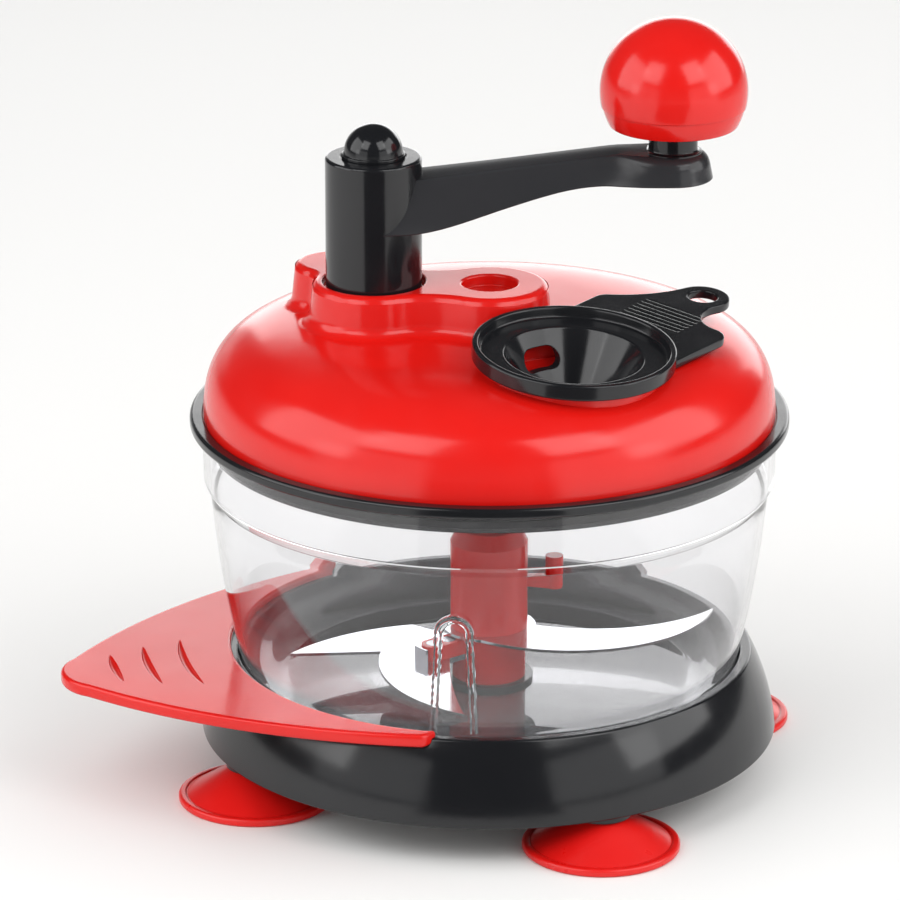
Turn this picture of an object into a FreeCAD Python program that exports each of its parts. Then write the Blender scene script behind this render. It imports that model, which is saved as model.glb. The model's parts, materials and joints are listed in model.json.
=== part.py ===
import FreeCAD, Part
import math
import os

from FreeCAD import Vector

# Crank food chopper: a suction-cup base with a side handle, a clear bowl with a turning
# blade column, and a domed lid that holds a two-gear drive turned by a crank.
# Millimetres.  +Z is up and the table is z = 0.  The pieces are modelled about the bowl's
# axis, and write_parts() moves them so that the origin is the centre of the footprint.

# ---------------------------------------------------------------- driving dimensions
BOWL_AXIS_X = 19.5            # the bowl's axis stands this far from the footprint's centre

WALL = 2.5                    # moulded plastic wall
SEAT_GAP = 0.3                # between pieces that part by hand
FIT_GAP = 0.02                # between pieces that are pressed or screwed together
RUN_GAP = 0.05                # radial clearance of a shaft in its bush
COVER = 4.0                   # how far a cutting tool runs past the face it cuts

# the bowl's rim, which the round pieces follow
BOWL_RIM_R = 95.9
BOWL_TAPER = 11.5             # the foot is this much smaller
BOWL_FOOT_R = BOWL_RIM_R - BOWL_TAPER

# base
BASE_BOTTOM_Z = 14.0
BASE_TOP_Z = 41.6
LIP_WIDTH = 3.6
LIP_CLEARANCE = 0.5
BASE_FLARE = 8.7
BASE_TOP_R = BOWL_FOOT_R + LIP_CLEARANCE + LIP_WIDTH
BASE_BOTTOM_R = BASE_TOP_R + BASE_FLARE
SKIRT_BULGE = 1.5
SEAT_Z = 27.0
BOTTOM_PLATE_THICK = 2.5
LIP_NOTCH_WIDTH = 1.2
LIP_NOTCH_DEPTH = 0.8
LIP_NOTCH_ANGLE = 251.0

# suction cups
CUP_COUNT = 4
CUP_INSET = 11.2              # from the skirt's foot
CUP_PITCH_R = BASE_BOTTOM_R - CUP_INSET
CUP_FIRST_ANGLE = 25.0
CUP_R = 26.0
CUP_RIM_THICK = 2.2
CUP_RIM_WIDTH = 2.4
CUP_SHEET = 1.8
CUP_TOP_Z = 12.0
CUP_CROWN_R = 8.0
CUP_NECK_R = 4.0
CUP_BULB_R = 5.4
CUP_BULB_HEIGHT = 4.0
CUP_BOSS_R = 10.0
CUP_BOSS_WALL = 2.5

# side handle, a leaf-shaped plate whose inner edge rests on the base's lip
HANDLE_TOP_Z = 44.0
HANDLE_THICK = 4.4
HANDLE_ANGLE = 193.6
HANDLE_LAP = 1.3              # the inner edge lies this far onto the lip
HANDLE_LENGTH = 58.0          # from the lip's outer edge
HANDLE_SHOULDER_BACK = 6.5
HANDLE_SHOULDER_HALF = 13.5
HANDLE_SIDE_OUT = 20.6
HANDLE_SIDE_ANGLE = 31.5
HANDLE_HORN_OUT = 4.1
HANDLE_HORN_OUT_ANGLE = 63.0
HANDLE_HORN_ANGLE = 64.5
HANDLE_INNER_R = BASE_TOP_R - HANDLE_LAP
HANDLE_REACH = BASE_TOP_R + HANDLE_LENGTH
HANDLE_CORNER_ROUND = 3.0
HANDLE_EDGE_ROUND = 1.2
GRIP_GROOVES = ((18.0, 11.5), (29.5, 16.0), (42.0, 19.0))
GRIP_GROOVE_WIDTH = 3.0
GRIP_GROOVE_DEPTH = 1.2
HANDLE_POST_R = 3.2
HANDLE_POST_OUT = 2.1
HANDLE_POST_PITCH_R = BASE_TOP_R + HANDLE_POST_OUT
HANDLE_POST_ANGLES = (-29.4, 0.0, 29.4)
HANDLE_SCREW_SEAT_Z = 19.0

# screws
SCREW_R = 1.5
SCREW_HEAD_R = 2.9
SCREW_HEAD_HEIGHT = 1.8
PLATE_SCREW_COUNT = 4
PLATE_SCREW_INSET = 29.2
PLATE_SCREW_PITCH_R = BASE_BOTTOM_R - PLATE_SCREW_INSET
PLATE_SCREW_FIRST_ANGLE = 70.0
PLATE_POST_R = 4.0
LID_SCREW_COUNT = 4
LID_SCREW_INSET = 11.9
LID_SCREW_PITCH_R = BOWL_RIM_R - LID_SCREW_INSET
LID_SCREW_FIRST_ANGLE = 45.0
LID_POST_R = 4.0
LID_POST_HEIGHT = 24.0
SCREW_BITE = 7.0

# bowl
BOWL_RIM_Z = 121.5
BOWL_BAND_TAPER = 0.3
BOWL_LEDGE_STEP = 2.1
BOWL_MIDDLE_BULGE = 5.9
BOWL_CORNER = 14.4
BOWL_LEDGE_TOP_Z = 103.5
BOWL_LEDGE_TOP_R = BOWL_RIM_R - BOWL_BAND_TAPER
BOWL_LEDGE_BOTTOM_Z = 100.0
BOWL_LEDGE_BOTTOM_R = BOWL_LEDGE_TOP_R - BOWL_LEDGE_STEP
BOWL_MIDDLE_Z = 72.0
BOWL_MIDDLE_R = BOWL_FOOT_R + BOWL_MIDDLE_BULGE
BOWL_FOOT_Z = 41.6
BOWL_FLAT_R = BOWL_FOOT_R - BOWL_CORNER
BOWL_WALL = 2.3
BOWL_FLOOR_THICK = 3.0
BOWL_BOSS_R = 6.0
BOWL_BOSS_HEIGHT = 4.0
RIB_X = -11.9
RIB_WIDTH = 15.2
RIB_TOP_WIDTH = 12.0
RIB_BOTTOM_Z = 42.6
RIB_TOP_Z = 85.5
RIB_BAND = 2.0
RIB_PROUD = 1.2

# spindle pin, thrust washer and blade column
PIN_R = 3.0
PIN_TOP_Z = 60.0
WASHER_R = 15.0
WASHER_THICK = 1.4
SLEEVE_R = 12.4
SPIGOT_R = 8.5
SPIGOT_BOTTOM_Z = 36.0
COLUMN_R = 13.1
COLUMN_NECK_R = 10.8
COLUMN_SHOULDER_Z = 79.0
COLUMN_TOP_Z = 84.0
COLUMN_BUSH_R = 5.5
COLUMN_BUSH_BOTTOM_Z = 36.5
COLUMN_BUSH_TOP_Z = 62.0
DOG_FLATS = 11.0
DOG_BOTTOM_Z = 67.0
DOG_GAP = 0.15
BLADE_THICK = 1.0
UPPER_BLADE_Z = 48.0
UPPER_BLADE_HUB_R = 15.8
UPPER_BLADE_ROOT = ((-6.0, -13.0), (13.0, 0.0))
UPPER_BLADE_BELLY = (33.0, -25.0)
UPPER_BLADE_TIP = (BOWL_FLAT_R + 7.0, 14.0)
UPPER_BLADE_HOLLOW = (50.0, -3.0)
BLADE_LUG_ANGLE = 218.0
BLADE_LUG_BOTTOM_Z = 42.4
BLADE_LUG_TOP_Z = 47.5
BLADE_LUG_HALF = 4.0
BLADE_LUG_END = 24.0
FRONT_BLADE_TIP = (-8.5, 4.0 - BOWL_FLAT_R)
FRONT_BLADE_BELLY = (-37.0, -18.0)
FRONT_BLADE_HEEL = (-26.0, 16.0)
FRONT_BLADE_ROOT = (-9.0, 4.0)
FRONT_BLADE_THROAT = (-13.0, -8.0)
FRONT_BLADE_HOLLOW = (-13.0, -30.0)
LEFT_BLADE_TIP = (3.0 - BOWL_FLAT_R, -9.0)
LEFT_BLADE_BELLY = (-44.0, 12.0)
LEFT_BLADE_HEEL = (-26.0, 19.0)
LEFT_BLADE_ROOT = (-12.0, 8.0)
LEFT_BLADE_THROAT = (-20.0, -14.0)
LEFT_BLADE_HOLLOW = (-36.0, -6.5)
BLADE_TANG_WIDTH = 6.0
BLADE_TANG_TOP_Z = 47.0
BLADE_RIVET_PLACES = (17.5, 23.5)
BLADE_RIVET_R = 1.5
BLADE_RIVET_HEAD_R = 2.6
BLADE_RIVET_HEAD = 0.8
PADDLE_LUG_ANGLE = 0.0
PADDLE_LUG_REACH = 23.0
PADDLE_LUG_HALF = 2.6
PADDLE_LUG_Z = 62.5
PADDLE_LUG_THICK = 4.0
PADDLE_KNUCKLE_AT = 22.0
PADDLE_KNUCKLE_R = 3.0
PADDLE_KNUCKLE_TOP_Z = 73.5

# lid
LID_RING_LAP = 4.1            # the ring stands this far outside the bowl's rim
LID_RING_R = BOWL_RIM_R + LID_RING_LAP
LID_RING_Z = 121.5
LID_RING_TOP_Z = 125.2
LID_RING_ROUND = 1.2
LID_PLATE_THICK = 2.5
LID_SKIRT_CLEARANCE = 1.2
LID_SKIRT_R = BOWL_RIM_R - BOWL_WALL - LID_SKIRT_CLEARANCE
LID_SKIRT_BOTTOM_Z = 114.6
LID_SKIRT_WALL = 2.4
DOME_INSET = 4.6
DOME_R = LID_RING_R - DOME_INSET
DOME_BOTTOM_Z = 124.6
DOME_HEIGHT = 31.1
DOME_SIDE_POWER = 0.28
DOME_RISE_POWER = 0.79
DOME_SPIGOT_INSET = 3.4
DOME_SPIGOT_R = DOME_R - DOME_SPIGOT_INSET
PLATEAU_TOP_Z = 169.3
PLATEAU_DRAFT = 6.0
PLATEAU_TOP_ROUND = 2.5
HUB_X = -38.4
HUB_Y = 3.0
HUB_LOBE_R = 20.3
AXIS_LOBE_R = 19.4
LUG_LOBE_X = -52.0
LUG_LOBE_Y = 24.2
LUG_LOBE_R = 13.0
FRONT_WAIST_R = 28.0
BACK_WAIST_R = 25.0
NOTCH_WAIST_R = 8.0
HUB_RECESS_R = 17.2
HUB_RECESS_DEPTH = 2.0
AXIS_HOLE_R = 9.2
AXIS_HOLE_DEPTH = 4.0
SEAL_WIDTH = 2.4
SEAL_DEPTH = 1.6
SEAL_Z = 116.6

# feed port in the lid, and the egg separator that drops into it
PORT_X = 26.9
PORT_Y = -46.1
PORT_TILT = 6.1
PORT_SEAT_Z = 157.4
PORT_COLLAR_R = 30.0
PORT_BORE_R = 25.0
PORT_WALL = 2.0
PORT_COLLAR_DEPTH = 12.0
PORT_BORE_DEPTH = 14.0
PORT_WALL_DROP = 4.0          # the upright wall ends this far below the seat
DISH_R = 33.3
DISH_WALL = 2.0
DISH_HEIGHT = 5.4
DISH_FLOOR = 2.0
CUP_MOUTH_R = 22.6
CUP_FLOOR_R = 12.0
CUP_DEPTH = 17.0
CUP_WALL = 1.6
DRAIN_SLOT_COUNT = 2
DRAIN_SLOT_ANGLE = 126.0
DRAIN_SLOT_WIDTH = 14.0
DRAIN_SLOT_HEIGHT = 7.0
DRAIN_SLOT_DROP = 6.3
TAB_ANGLE = 52.0
TAB_TOP = 1.2
TAB_HALF_WIDTH = 25.8
TAB_SHOULDER = 46.0
TAB_SHOULDER_ROUND = 6.0
TAB_EYE_AT = 71.5
TAB_EYE_R = 9.0
TAB_EYE_HOLE_R = 5.0
TAB_WAIST_R = 12.0
TAB_THICK = 3.0
TAB_GROOVE_COUNT = 7
TAB_GROOVE_FIRST = 41.5
TAB_GROOVE_PITCH = 2.5
TAB_GROOVE_WIDTH = 1.1
TAB_GROOVE_DEPTH = 0.8
TAB_GROOVE_HALF_LENGTH = 12.0

# gear drive
GEAR_MODULE = 1.0
CRANK_GEAR_TEETH = 62
PINION_TEETH = 15
PRESSURE_ANGLE = 25.0
ADDENDUM = 0.9
DEDENDUM = 1.25
TOOTH_THINNING = 0.16
FLANK_STEPS = 4
CRANK_GEAR_Z = 138.0
CRANK_GEAR_WIDTH = 8.0
PINION_Z = 137.0
PINION_WIDTH = 10.0
SHAFT_FLATS = 9.0
PINION_FLATS = 8.0
SPINDLE_R = 6.0
SPINDLE_NECK_R = 9.2
SPINDLE_TOP_R = 4.0
SPINDLE_TOP_Z = 156.0
SPINDLE_FLANGE_Z = 119.6
BOTTOM_BUSH_R = 7.5
BOTTOM_BUSH_FLANGE_R = 9.6
BOTTOM_BUSH_FLANGE = 1.5
BOTTOM_BUSH_TOP_Z = 136.5
BUSH_BOSS_WALL = 2.2
TOP_BUSH_R = 6.0
TOP_BUSH_BOTTOM_Z = 149.0
TOP_BUSH_TOP_Z = 157.0
CLIP_R = 6.5
CLIP_THICK = 0.9

# crank
SHAFT_R = 6.0
SHAFT_HEX_TOP_Z = 200.0
CRANK_BUSH_R = 8.0
CRANK_BUSH_BOTTOM_Z = 148.0
CRANK_BUSH_FLANGE_R = 10.5
CRANK_BUSH_FLANGE = 1.2
HUB_R = 16.0
HUB_FOOT_GAP = 0.3
HUB_TOP_Z = 212.0
HUB_SKIN = 3.0
HUB_CORE_R = 8.0
HUB_CAVITY_TOP_Z = 203.0
HUB_EDGE_ROUND = 0.8
CAP_R = 9.8
CAP_LIP_R = 10.5
CAP_LIP_HEIGHT = 1.2
CAP_STEM_R = 4.8
CAP_STEM_DEPTH = 2.2
HUB_SCREW_R = 2.0
HUB_SCREW_HEAD_R = 4.0
HUB_SCREW_HEAD_HEIGHT = 3.0
HUB_SCREW_SEAT_Z = 206.2
HUB_SCREW_LENGTH = 12.0
GEAR_WASHER_R = 8.0
GEAR_WASHER_THICK = 1.2
GEAR_SCREW_HEAD_HEIGHT = 2.6
GEAR_SCREW_LENGTH = 13.0
ARM_LENGTH = 98.7
ARM_ANGLE = 0.5
ARM_ROOT_BOTTOM_Z = 189.0
ARM_END_BOTTOM_Z = 204.5
ARM_ROOT_TOP_Z = 204.4
ARM_END_TOP_Z = 214.6
ARM_MIDDLE_BOTTOM_HALF = 9.5
ARM_END_BOTTOM_HALF = 12.6
ARM_ROOT_TOP_HALF = 8.0
ARM_TOP_HALF = 6.8
ARM_SECTIONS = 9
ARM_SKIN = 2.6
PAD_BOTTOM_R = 13.3
PAD_TOP_R = 11.6
PAD_TOP_Z = 214.0
PAD_ROUND = 4.0
NECK_R = 8.1
NECK_TOP_Z = 221.7

# knob
KNOB_R = 24.4
KNOB_CENTRE_Z = 234.1
KNOB_WASHER_R = 7.5
KNOB_WASHER_THICK = 0.8
KNOB_SEAM_Z = 228.8
KNOB_SEAM_STEP = 0.35
KNOB_WALL = 2.5
KNOB_TUBE_R = 6.5
KNOB_TUBE_TOP_Z = 237.5
KNOB_PIN_R = 3.0
KNOB_PIN_HEAD_R = 5.0
KNOB_PIN_HEAD = 2.5
KNOB_PIN_FOOT_Z = 205.6

UP = Vector(0, 0, 1)

# heights that follow from the sizes above
PLATE_TOP_Z = BASE_BOTTOM_Z + BOTTOM_PLATE_THICK
HANDLE_BOTTOM_Z = HANDLE_TOP_Z - HANDLE_THICK
BOWL_FLOOR_Z = SEAT_Z + BOWL_FLOOR_THICK
SLEEVE_BOTTOM_Z = BOWL_FLOOR_Z + WASHER_THICK
HUB_RECESS_Z = PLATEAU_TOP_Z - HUB_RECESS_DEPTH
HUB_BOTTOM_Z = HUB_RECESS_Z + HUB_FOOT_GAP
HUB_CORE_BOTTOM_Z = HUB_RECESS_Z + CRANK_BUSH_FLANGE
GEAR_TOP_Z = CRANK_GEAR_Z + CRANK_GEAR_WIDTH
KNOB_BOTTOM_Z = NECK_TOP_Z + KNOB_WASHER_THICK


# ---------------------------------------------------------------- geometry helpers
def polar(radius, angle, z=0.0):
    """A point at a radius and an angle in degrees about the Z axis."""
    turn = math.radians(angle)
    return Vector(radius * math.cos(turn), radius * math.sin(turn), z)


def disc(radius, bottom, top, x=0.0, y=0.0):
    """An upright cylinder."""
    return Part.makeCylinder(radius, top - bottom, Vector(x, y, bottom))


def tube(outer, inner, bottom, top, x=0.0, y=0.0):
    """An upright sleeve."""
    bore = disc(inner, bottom - COVER, top + COVER, x, y)
    return disc(outer, bottom, top, x, y).cut(bore)


def turned(points):
    """A solid of revolution about the Z axis from straight runs between (radius, z) points."""
    wire = Part.makePolygon([Vector(r, 0, z) for r, z in points + [points[0]]])
    return Part.Face(wire).revolve(Vector(0, 0, 0), UP, 360)


def turned_edges(edges):
    """A solid of revolution about the Z axis from edges that close a loop in the XZ plane."""
    wire = Part.Wire(Part.__sortEdges__(edges))
    return Part.Face(wire).revolve(Vector(0, 0, 0), UP, 360)


def line(a, b):
    """A straight edge in the XZ plane between two (radius, z) points."""
    return Part.LineSegment(Vector(a[0], 0, a[1]), Vector(b[0], 0, b[1])).toShape()


def arc(a, b, c):
    """An arc in the XZ plane through three (radius, z) points."""
    return Part.Arc(*[Vector(r, 0, z) for r, z in (a, b, c)]).toShape()


def prism(points, bottom, top):
    """An upright prism on a polygon of (x, y) points."""
    wire = Part.makePolygon([Vector(x, y, bottom) for x, y in points + [points[0]]])
    return Part.Face(wire).extrude(Vector(0, 0, top - bottom))


def hexagon(flats, bottom, top, x=0.0, y=0.0, turn=0.0):
    """An upright hexagonal bar, by its width across the flats."""
    corner = flats / 2 / math.cos(math.pi / 6)
    points = [polar(corner, turn + 60 * i) for i in range(6)]
    return prism([(x + p.x, y + p.y) for p in points], bottom, top)


def moved(shape, x=0.0, y=0.0, z=0.0, turn=0.0):
    """A copy turned about the Z axis, then moved."""
    copy = shape.copy()
    copy.rotate(Vector(0, 0, 0), UP, turn)
    copy.translate(Vector(x, y, z))
    return copy


def around(shape, count, first, radius):
    """Copies of a shape, evenly spaced on a circle about the Z axis."""
    copies = []
    for i in range(count):
        place = polar(radius, first + 360.0 * i / count)
        copies.append(moved(shape, place.x, place.y))
    return copies


def fused(shapes):
    """One solid from shapes that meet."""
    return shapes[0].multiFuse(shapes[1:]).removeSplitter()


def screw(shank_r, head_r, head_height, seat_z, length, upward):
    """A plain screw whose head seats at seat_z, with its shank going up or down."""
    if upward:
        head = disc(head_r, seat_z - head_height, seat_z)
        shank = disc(shank_r, seat_z, seat_z + length)
    else:
        head = disc(head_r, seat_z, seat_z + head_height)
        shank = disc(shank_r, seat_z - length, seat_z)
    return head.fuse(shank).removeSplitter()


# ---------------------------------------------------------------- base
def skirt_form(offset):
    """The base's outside moved inwards by offset, as one solid."""
    middle_r = (BASE_BOTTOM_R + BASE_TOP_R) / 2 + SKIRT_BULGE
    bottom = (BASE_BOTTOM_R - offset, BASE_BOTTOM_Z)
    middle = (middle_r - offset, (BASE_BOTTOM_Z + BASE_TOP_Z) / 2)
    top = (BASE_TOP_R - offset, BASE_TOP_Z)
    return turned_edges([line((0, BASE_BOTTOM_Z), bottom), arc(bottom, middle, top),
                         line(top, (0, BASE_TOP_Z)), line((0, BASE_TOP_Z), (0, BASE_BOTTOM_Z))])


def seat_bore_r():
    """The recess that the bowl's foot stands in."""
    return BASE_TOP_R - LIP_WIDTH


def handle_posts():
    """Where the side handle's screw posts stand."""
    return [polar(HANDLE_POST_PITCH_R, HANDLE_ANGLE + a) for a in HANDLE_POST_ANGLES]


def plate_posts():
    """Where the bottom plate's screw posts stand."""
    step = 360.0 / PLATE_SCREW_COUNT
    angles = [PLATE_SCREW_FIRST_ANGLE + step * i for i in range(PLATE_SCREW_COUNT)]
    return [polar(PLATE_SCREW_PITCH_R, a) for a in angles]


def base_shell():
    """Skirt, lip and the deck that the bowl stands on."""
    deck_bottom = SEAT_Z - WALL
    room = skirt_form(WALL)
    under_deck = room.cut(disc(BASE_BOTTOM_R, deck_bottom, BASE_TOP_Z + COVER))
    behind_wall = room.common(tube(BASE_BOTTOM_R, seat_bore_r() + WALL, deck_bottom - 0.1,
                                   BASE_TOP_Z - WALL))
    shell = skirt_form(0).cut(under_deck).cut(behind_wall)
    shell = shell.cut(disc(seat_bore_r(), SEAT_Z, BASE_TOP_Z + COVER))
    posts = [disc(HANDLE_POST_R, HANDLE_SCREW_SEAT_Z, HANDLE_BOTTOM_Z, p.x, p.y)
             for p in handle_posts()]
    posts += [disc(PLATE_POST_R, PLATE_TOP_Z, deck_bottom + 0.1, p.x, p.y)
              for p in plate_posts()]
    shell = fused([shell] + posts)
    for p in handle_posts():
        shell = shell.cut(disc(SCREW_R + FIT_GAP, BASE_BOTTOM_Z, HANDLE_TOP_Z, p.x, p.y))
    for p in plate_posts():
        shell = shell.cut(disc(SCREW_R + FIT_GAP, BASE_BOTTOM_Z, deck_bottom, p.x, p.y))
    notch = Part.makeBox(LIP_WIDTH + COVER, LIP_NOTCH_WIDTH, LIP_NOTCH_DEPTH + COVER,
                         Vector(seat_bore_r() - COVER / 2, -LIP_NOTCH_WIDTH / 2,
                                BASE_TOP_Z - LIP_NOTCH_DEPTH))
    return shell.cut(moved(notch, turn=LIP_NOTCH_ANGLE))


def cup_boss_bottom():
    """The cup bosses stand on the crowns of the cups."""
    return CUP_TOP_Z + FIT_GAP


def base_bottom_plate():
    """The plate that closes the base and carries the suction cups."""
    plate_r = BASE_BOTTOM_R - WALL - 1.0
    plate = disc(plate_r, BASE_BOTTOM_Z, PLATE_TOP_Z)
    boss = disc(CUP_BOSS_R, cup_boss_bottom(), PLATE_TOP_Z)
    bosses = fused([plate] + around(boss, CUP_COUNT, CUP_FIRST_ANGLE, CUP_PITCH_R))
    plate = bosses.cut(tube(BASE_BOTTOM_R + COVER, plate_r, BASE_BOTTOM_Z - SEAT_GAP,
                            PLATE_TOP_Z + COVER))
    socket_floor = cup_boss_bottom() + CUP_BOSS_WALL
    socket = disc(CUP_BULB_R + SEAT_GAP, socket_floor, PLATE_TOP_Z + COVER)
    socket = socket.fuse(disc(CUP_NECK_R + FIT_GAP, CUP_TOP_Z - COVER, socket_floor + 0.1))
    for cut in around(socket, CUP_COUNT, CUP_FIRST_ANGLE, CUP_PITCH_R):
        plate = plate.cut(cut)
    for p in plate_posts():
        plate = plate.cut(disc(SCREW_R + FIT_GAP, BASE_BOTTOM_Z - COVER,
                               PLATE_TOP_Z + COVER, p.x, p.y))
    return plate


def suction_cup():
    """One cup: a thin dome with a beaded rim, and a stem with a retaining bulb."""
    rim_in = CUP_R - CUP_RIM_WIDTH
    bulb_z = cup_boss_bottom() + CUP_BOSS_WALL + FIT_GAP
    crown_low = CUP_TOP_Z - CUP_SHEET
    outer_rise = ((CUP_R - 0.7, CUP_RIM_THICK), (CUP_R * 0.62, CUP_TOP_Z * 0.62),
                  (CUP_CROWN_R, CUP_TOP_Z))
    inner_rise = ((rim_in, 0.0), (CUP_R * 0.60, crown_low * 0.60), (CUP_CROWN_R, crown_low))
    edges = [line(inner_rise[0], (CUP_R - 0.5, 0.0)),
             line((CUP_R - 0.5, 0.0), (CUP_R, 0.5)),
             line((CUP_R, 0.5), (CUP_R, CUP_RIM_THICK - 0.5)),
             line((CUP_R, CUP_RIM_THICK - 0.5), outer_rise[0]),
             arc(*outer_rise),
             line(outer_rise[2], (CUP_NECK_R, CUP_TOP_Z)),
             line((CUP_NECK_R, CUP_TOP_Z), (CUP_NECK_R, bulb_z)),
             line((CUP_NECK_R, bulb_z), (CUP_BULB_R, bulb_z)),
             line((CUP_BULB_R, bulb_z), (CUP_NECK_R, bulb_z + CUP_BULB_HEIGHT)),
             line((CUP_NECK_R, bulb_z + CUP_BULB_HEIGHT), (0.0, bulb_z + CUP_BULB_HEIGHT)),
             line((0.0, bulb_z + CUP_BULB_HEIGHT), (0.0, crown_low)),
             line((0.0, crown_low), inner_rise[2]),
             arc(inner_rise[2], inner_rise[1], inner_rise[0])]
    return turned_edges(edges)


def suction_cups():
    """The four cups, each in its own node."""
    cups = around(suction_cup(), CUP_COUNT, CUP_FIRST_ANGLE, CUP_PITCH_R)
    return {"suction_cup_%d" % (i + 1): cup for i, cup in enumerate(cups)}


def plate_screws():
    """The screws that hold the bottom plate to the shell."""
    one = screw(SCREW_R, SCREW_HEAD_R, SCREW_HEAD_HEIGHT, BASE_BOTTOM_Z, SCREW_BITE, True)
    return Part.makeCompound([moved(one, p.x, p.y) for p in plate_posts()])


# ---------------------------------------------------------------- side handle
def handle_outline():
    """The leaf: two blunt horns along the lip, and sides that meet in a rounded tip."""
    def upper(point):
        return Vector(point[0], point[1], 0)

    def lower(point):
        return Vector(point[0], -point[1], 0)

    shoulder = (HANDLE_REACH - HANDLE_SHOULDER_BACK, HANDLE_SHOULDER_HALF)
    side = polar(BASE_TOP_R + HANDLE_SIDE_OUT, HANDLE_SIDE_ANGLE)
    horn = polar(BASE_TOP_R + HANDLE_HORN_OUT, HANDLE_HORN_OUT_ANGLE)
    horn_in = polar(HANDLE_INNER_R, HANDLE_HORN_ANGLE)
    horn_low = polar(HANDLE_INNER_R, -HANDLE_HORN_ANGLE)
    tip = Vector(HANDLE_REACH, 0, 0)
    edges = [Part.Arc(horn_low, Vector(HANDLE_INNER_R, 0, 0), horn_in).toShape(),
             Part.LineSegment(horn_in, upper(horn)).toShape(),
             Part.Arc(upper(horn), upper(side), upper(shoulder)).toShape(),
             Part.Arc(upper(shoulder), tip, lower(shoulder)).toShape(),
             Part.Arc(lower(shoulder), lower(side), lower(horn)).toShape(),
             Part.LineSegment(lower(horn), horn_low).toShape()]
    return Part.Wire(edges)


def grip_groove(radius, half_length):
    """A crescent groove round the bowl's axis, with ball ends."""
    ball_r = (GRIP_GROOVE_WIDTH ** 2 / 4 + GRIP_GROOVE_DEPTH ** 2) / 2 / GRIP_GROOVE_DEPTH
    height = HANDLE_THICK + ball_r - GRIP_GROOVE_DEPTH
    spread = math.degrees(half_length / radius)
    run = Part.makeTorus(radius, ball_r, Vector(0, 0, height), UP, 0, 360, 2 * spread)
    run = moved(run, turn=-spread)
    ends = [Part.makeSphere(ball_r, polar(radius, a, height)) for a in (-spread, spread)]
    return run.multiFuse(ends)


def stay_handle():
    """The side handle that steadies the base."""
    plate = Part.Face(handle_outline()).extrude(Vector(0, 0, HANDLE_THICK))
    upright = [e for e in plate.Edges if abs(e.BoundBox.ZLength - HANDLE_THICK) < 0.01
               and math.hypot(e.CenterOfMass.x, e.CenterOfMass.y) > HANDLE_INNER_R + 1.0]
    plate = plate.makeFillet(HANDLE_CORNER_ROUND, upright)
    rims = [e for e in plate.Edges if e.BoundBox.ZLength < 0.01]
    plate = plate.makeFillet(HANDLE_EDGE_ROUND, rims)
    for from_tip, half_length in GRIP_GROOVES:
        plate = plate.cut(grip_groove(HANDLE_REACH - from_tip, half_length))
    for angle in HANDLE_POST_ANGLES:
        p = polar(HANDLE_POST_PITCH_R, angle)
        plate = plate.cut(disc(SCREW_R + FIT_GAP, -COVER, HANDLE_THICK - 1.0, p.x, p.y))
    plate = moved(plate, 0, 0, HANDLE_BOTTOM_Z, HANDLE_ANGLE)
    return plate.cut(skirt_form(-SEAT_GAP))


def stay_handle_screws():
    """The screws that hold the side handle down, from inside the base."""
    length = HANDLE_TOP_Z - 1.5 - HANDLE_SCREW_SEAT_Z
    one = screw(SCREW_R, SCREW_HEAD_R, SCREW_HEAD_HEIGHT, HANDLE_SCREW_SEAT_Z, length, True)
    return Part.makeCompound([moved(one, p.x, p.y) for p in handle_posts()])


# ---------------------------------------------------------------- bowl
def bowl_form(offset, floor_z):
    """The bowl's outside, or its inside when moved inwards by offset, as one solid."""
    foot = (BOWL_FOOT_R - offset, BOWL_FOOT_Z)
    middle = (BOWL_MIDDLE_R - offset, BOWL_MIDDLE_Z)
    ledge = (BOWL_LEDGE_BOTTOM_R - offset, BOWL_LEDGE_BOTTOM_Z)
    ledge_top = (BOWL_LEDGE_TOP_R - offset, BOWL_LEDGE_TOP_Z)
    rim = (BOWL_RIM_R - offset, BOWL_RIM_Z)
    flat = (BOWL_FLAT_R - offset / 2, floor_z)
    reach = math.sqrt(0.5)
    corner = (flat[0] + (foot[0] - flat[0]) * reach, foot[1] - (foot[1] - floor_z) * reach)
    return turned_edges([line((0, floor_z), flat), arc(flat, corner, foot),
                         arc(foot, middle, ledge), line(ledge, ledge_top), line(ledge_top, rim),
                         line(rim, (0, rim[1])), line((0, rim[1]), (0, floor_z))])


def rib_arch(inset):
    """The upside-down U on the front wall, as a block that runs out through the wall."""
    half = RIB_WIDTH / 2 - inset
    top_half = RIB_TOP_WIDTH / 2 - inset
    knee_z = RIB_TOP_Z - RIB_TOP_WIDTH / 2
    foot_l = Vector(RIB_X - half, 0, RIB_BOTTOM_Z)
    foot_r = Vector(RIB_X + half, 0, RIB_BOTTOM_Z)
    knee_l = Vector(RIB_X - top_half, 0, knee_z)
    knee_r = Vector(RIB_X + top_half, 0, knee_z)
    crown = Vector(RIB_X, 0, RIB_TOP_Z - inset)
    wire = Part.Wire([Part.LineSegment(foot_l, knee_l).toShape(),
                      Part.Arc(knee_l, crown, knee_r).toShape(),
                      Part.LineSegment(knee_r, foot_r).toShape(),
                      Part.LineSegment(foot_r, foot_l).toShape()])
    return Part.Face(wire).extrude(Vector(0, -BOWL_RIM_R - COVER, 0))


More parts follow.
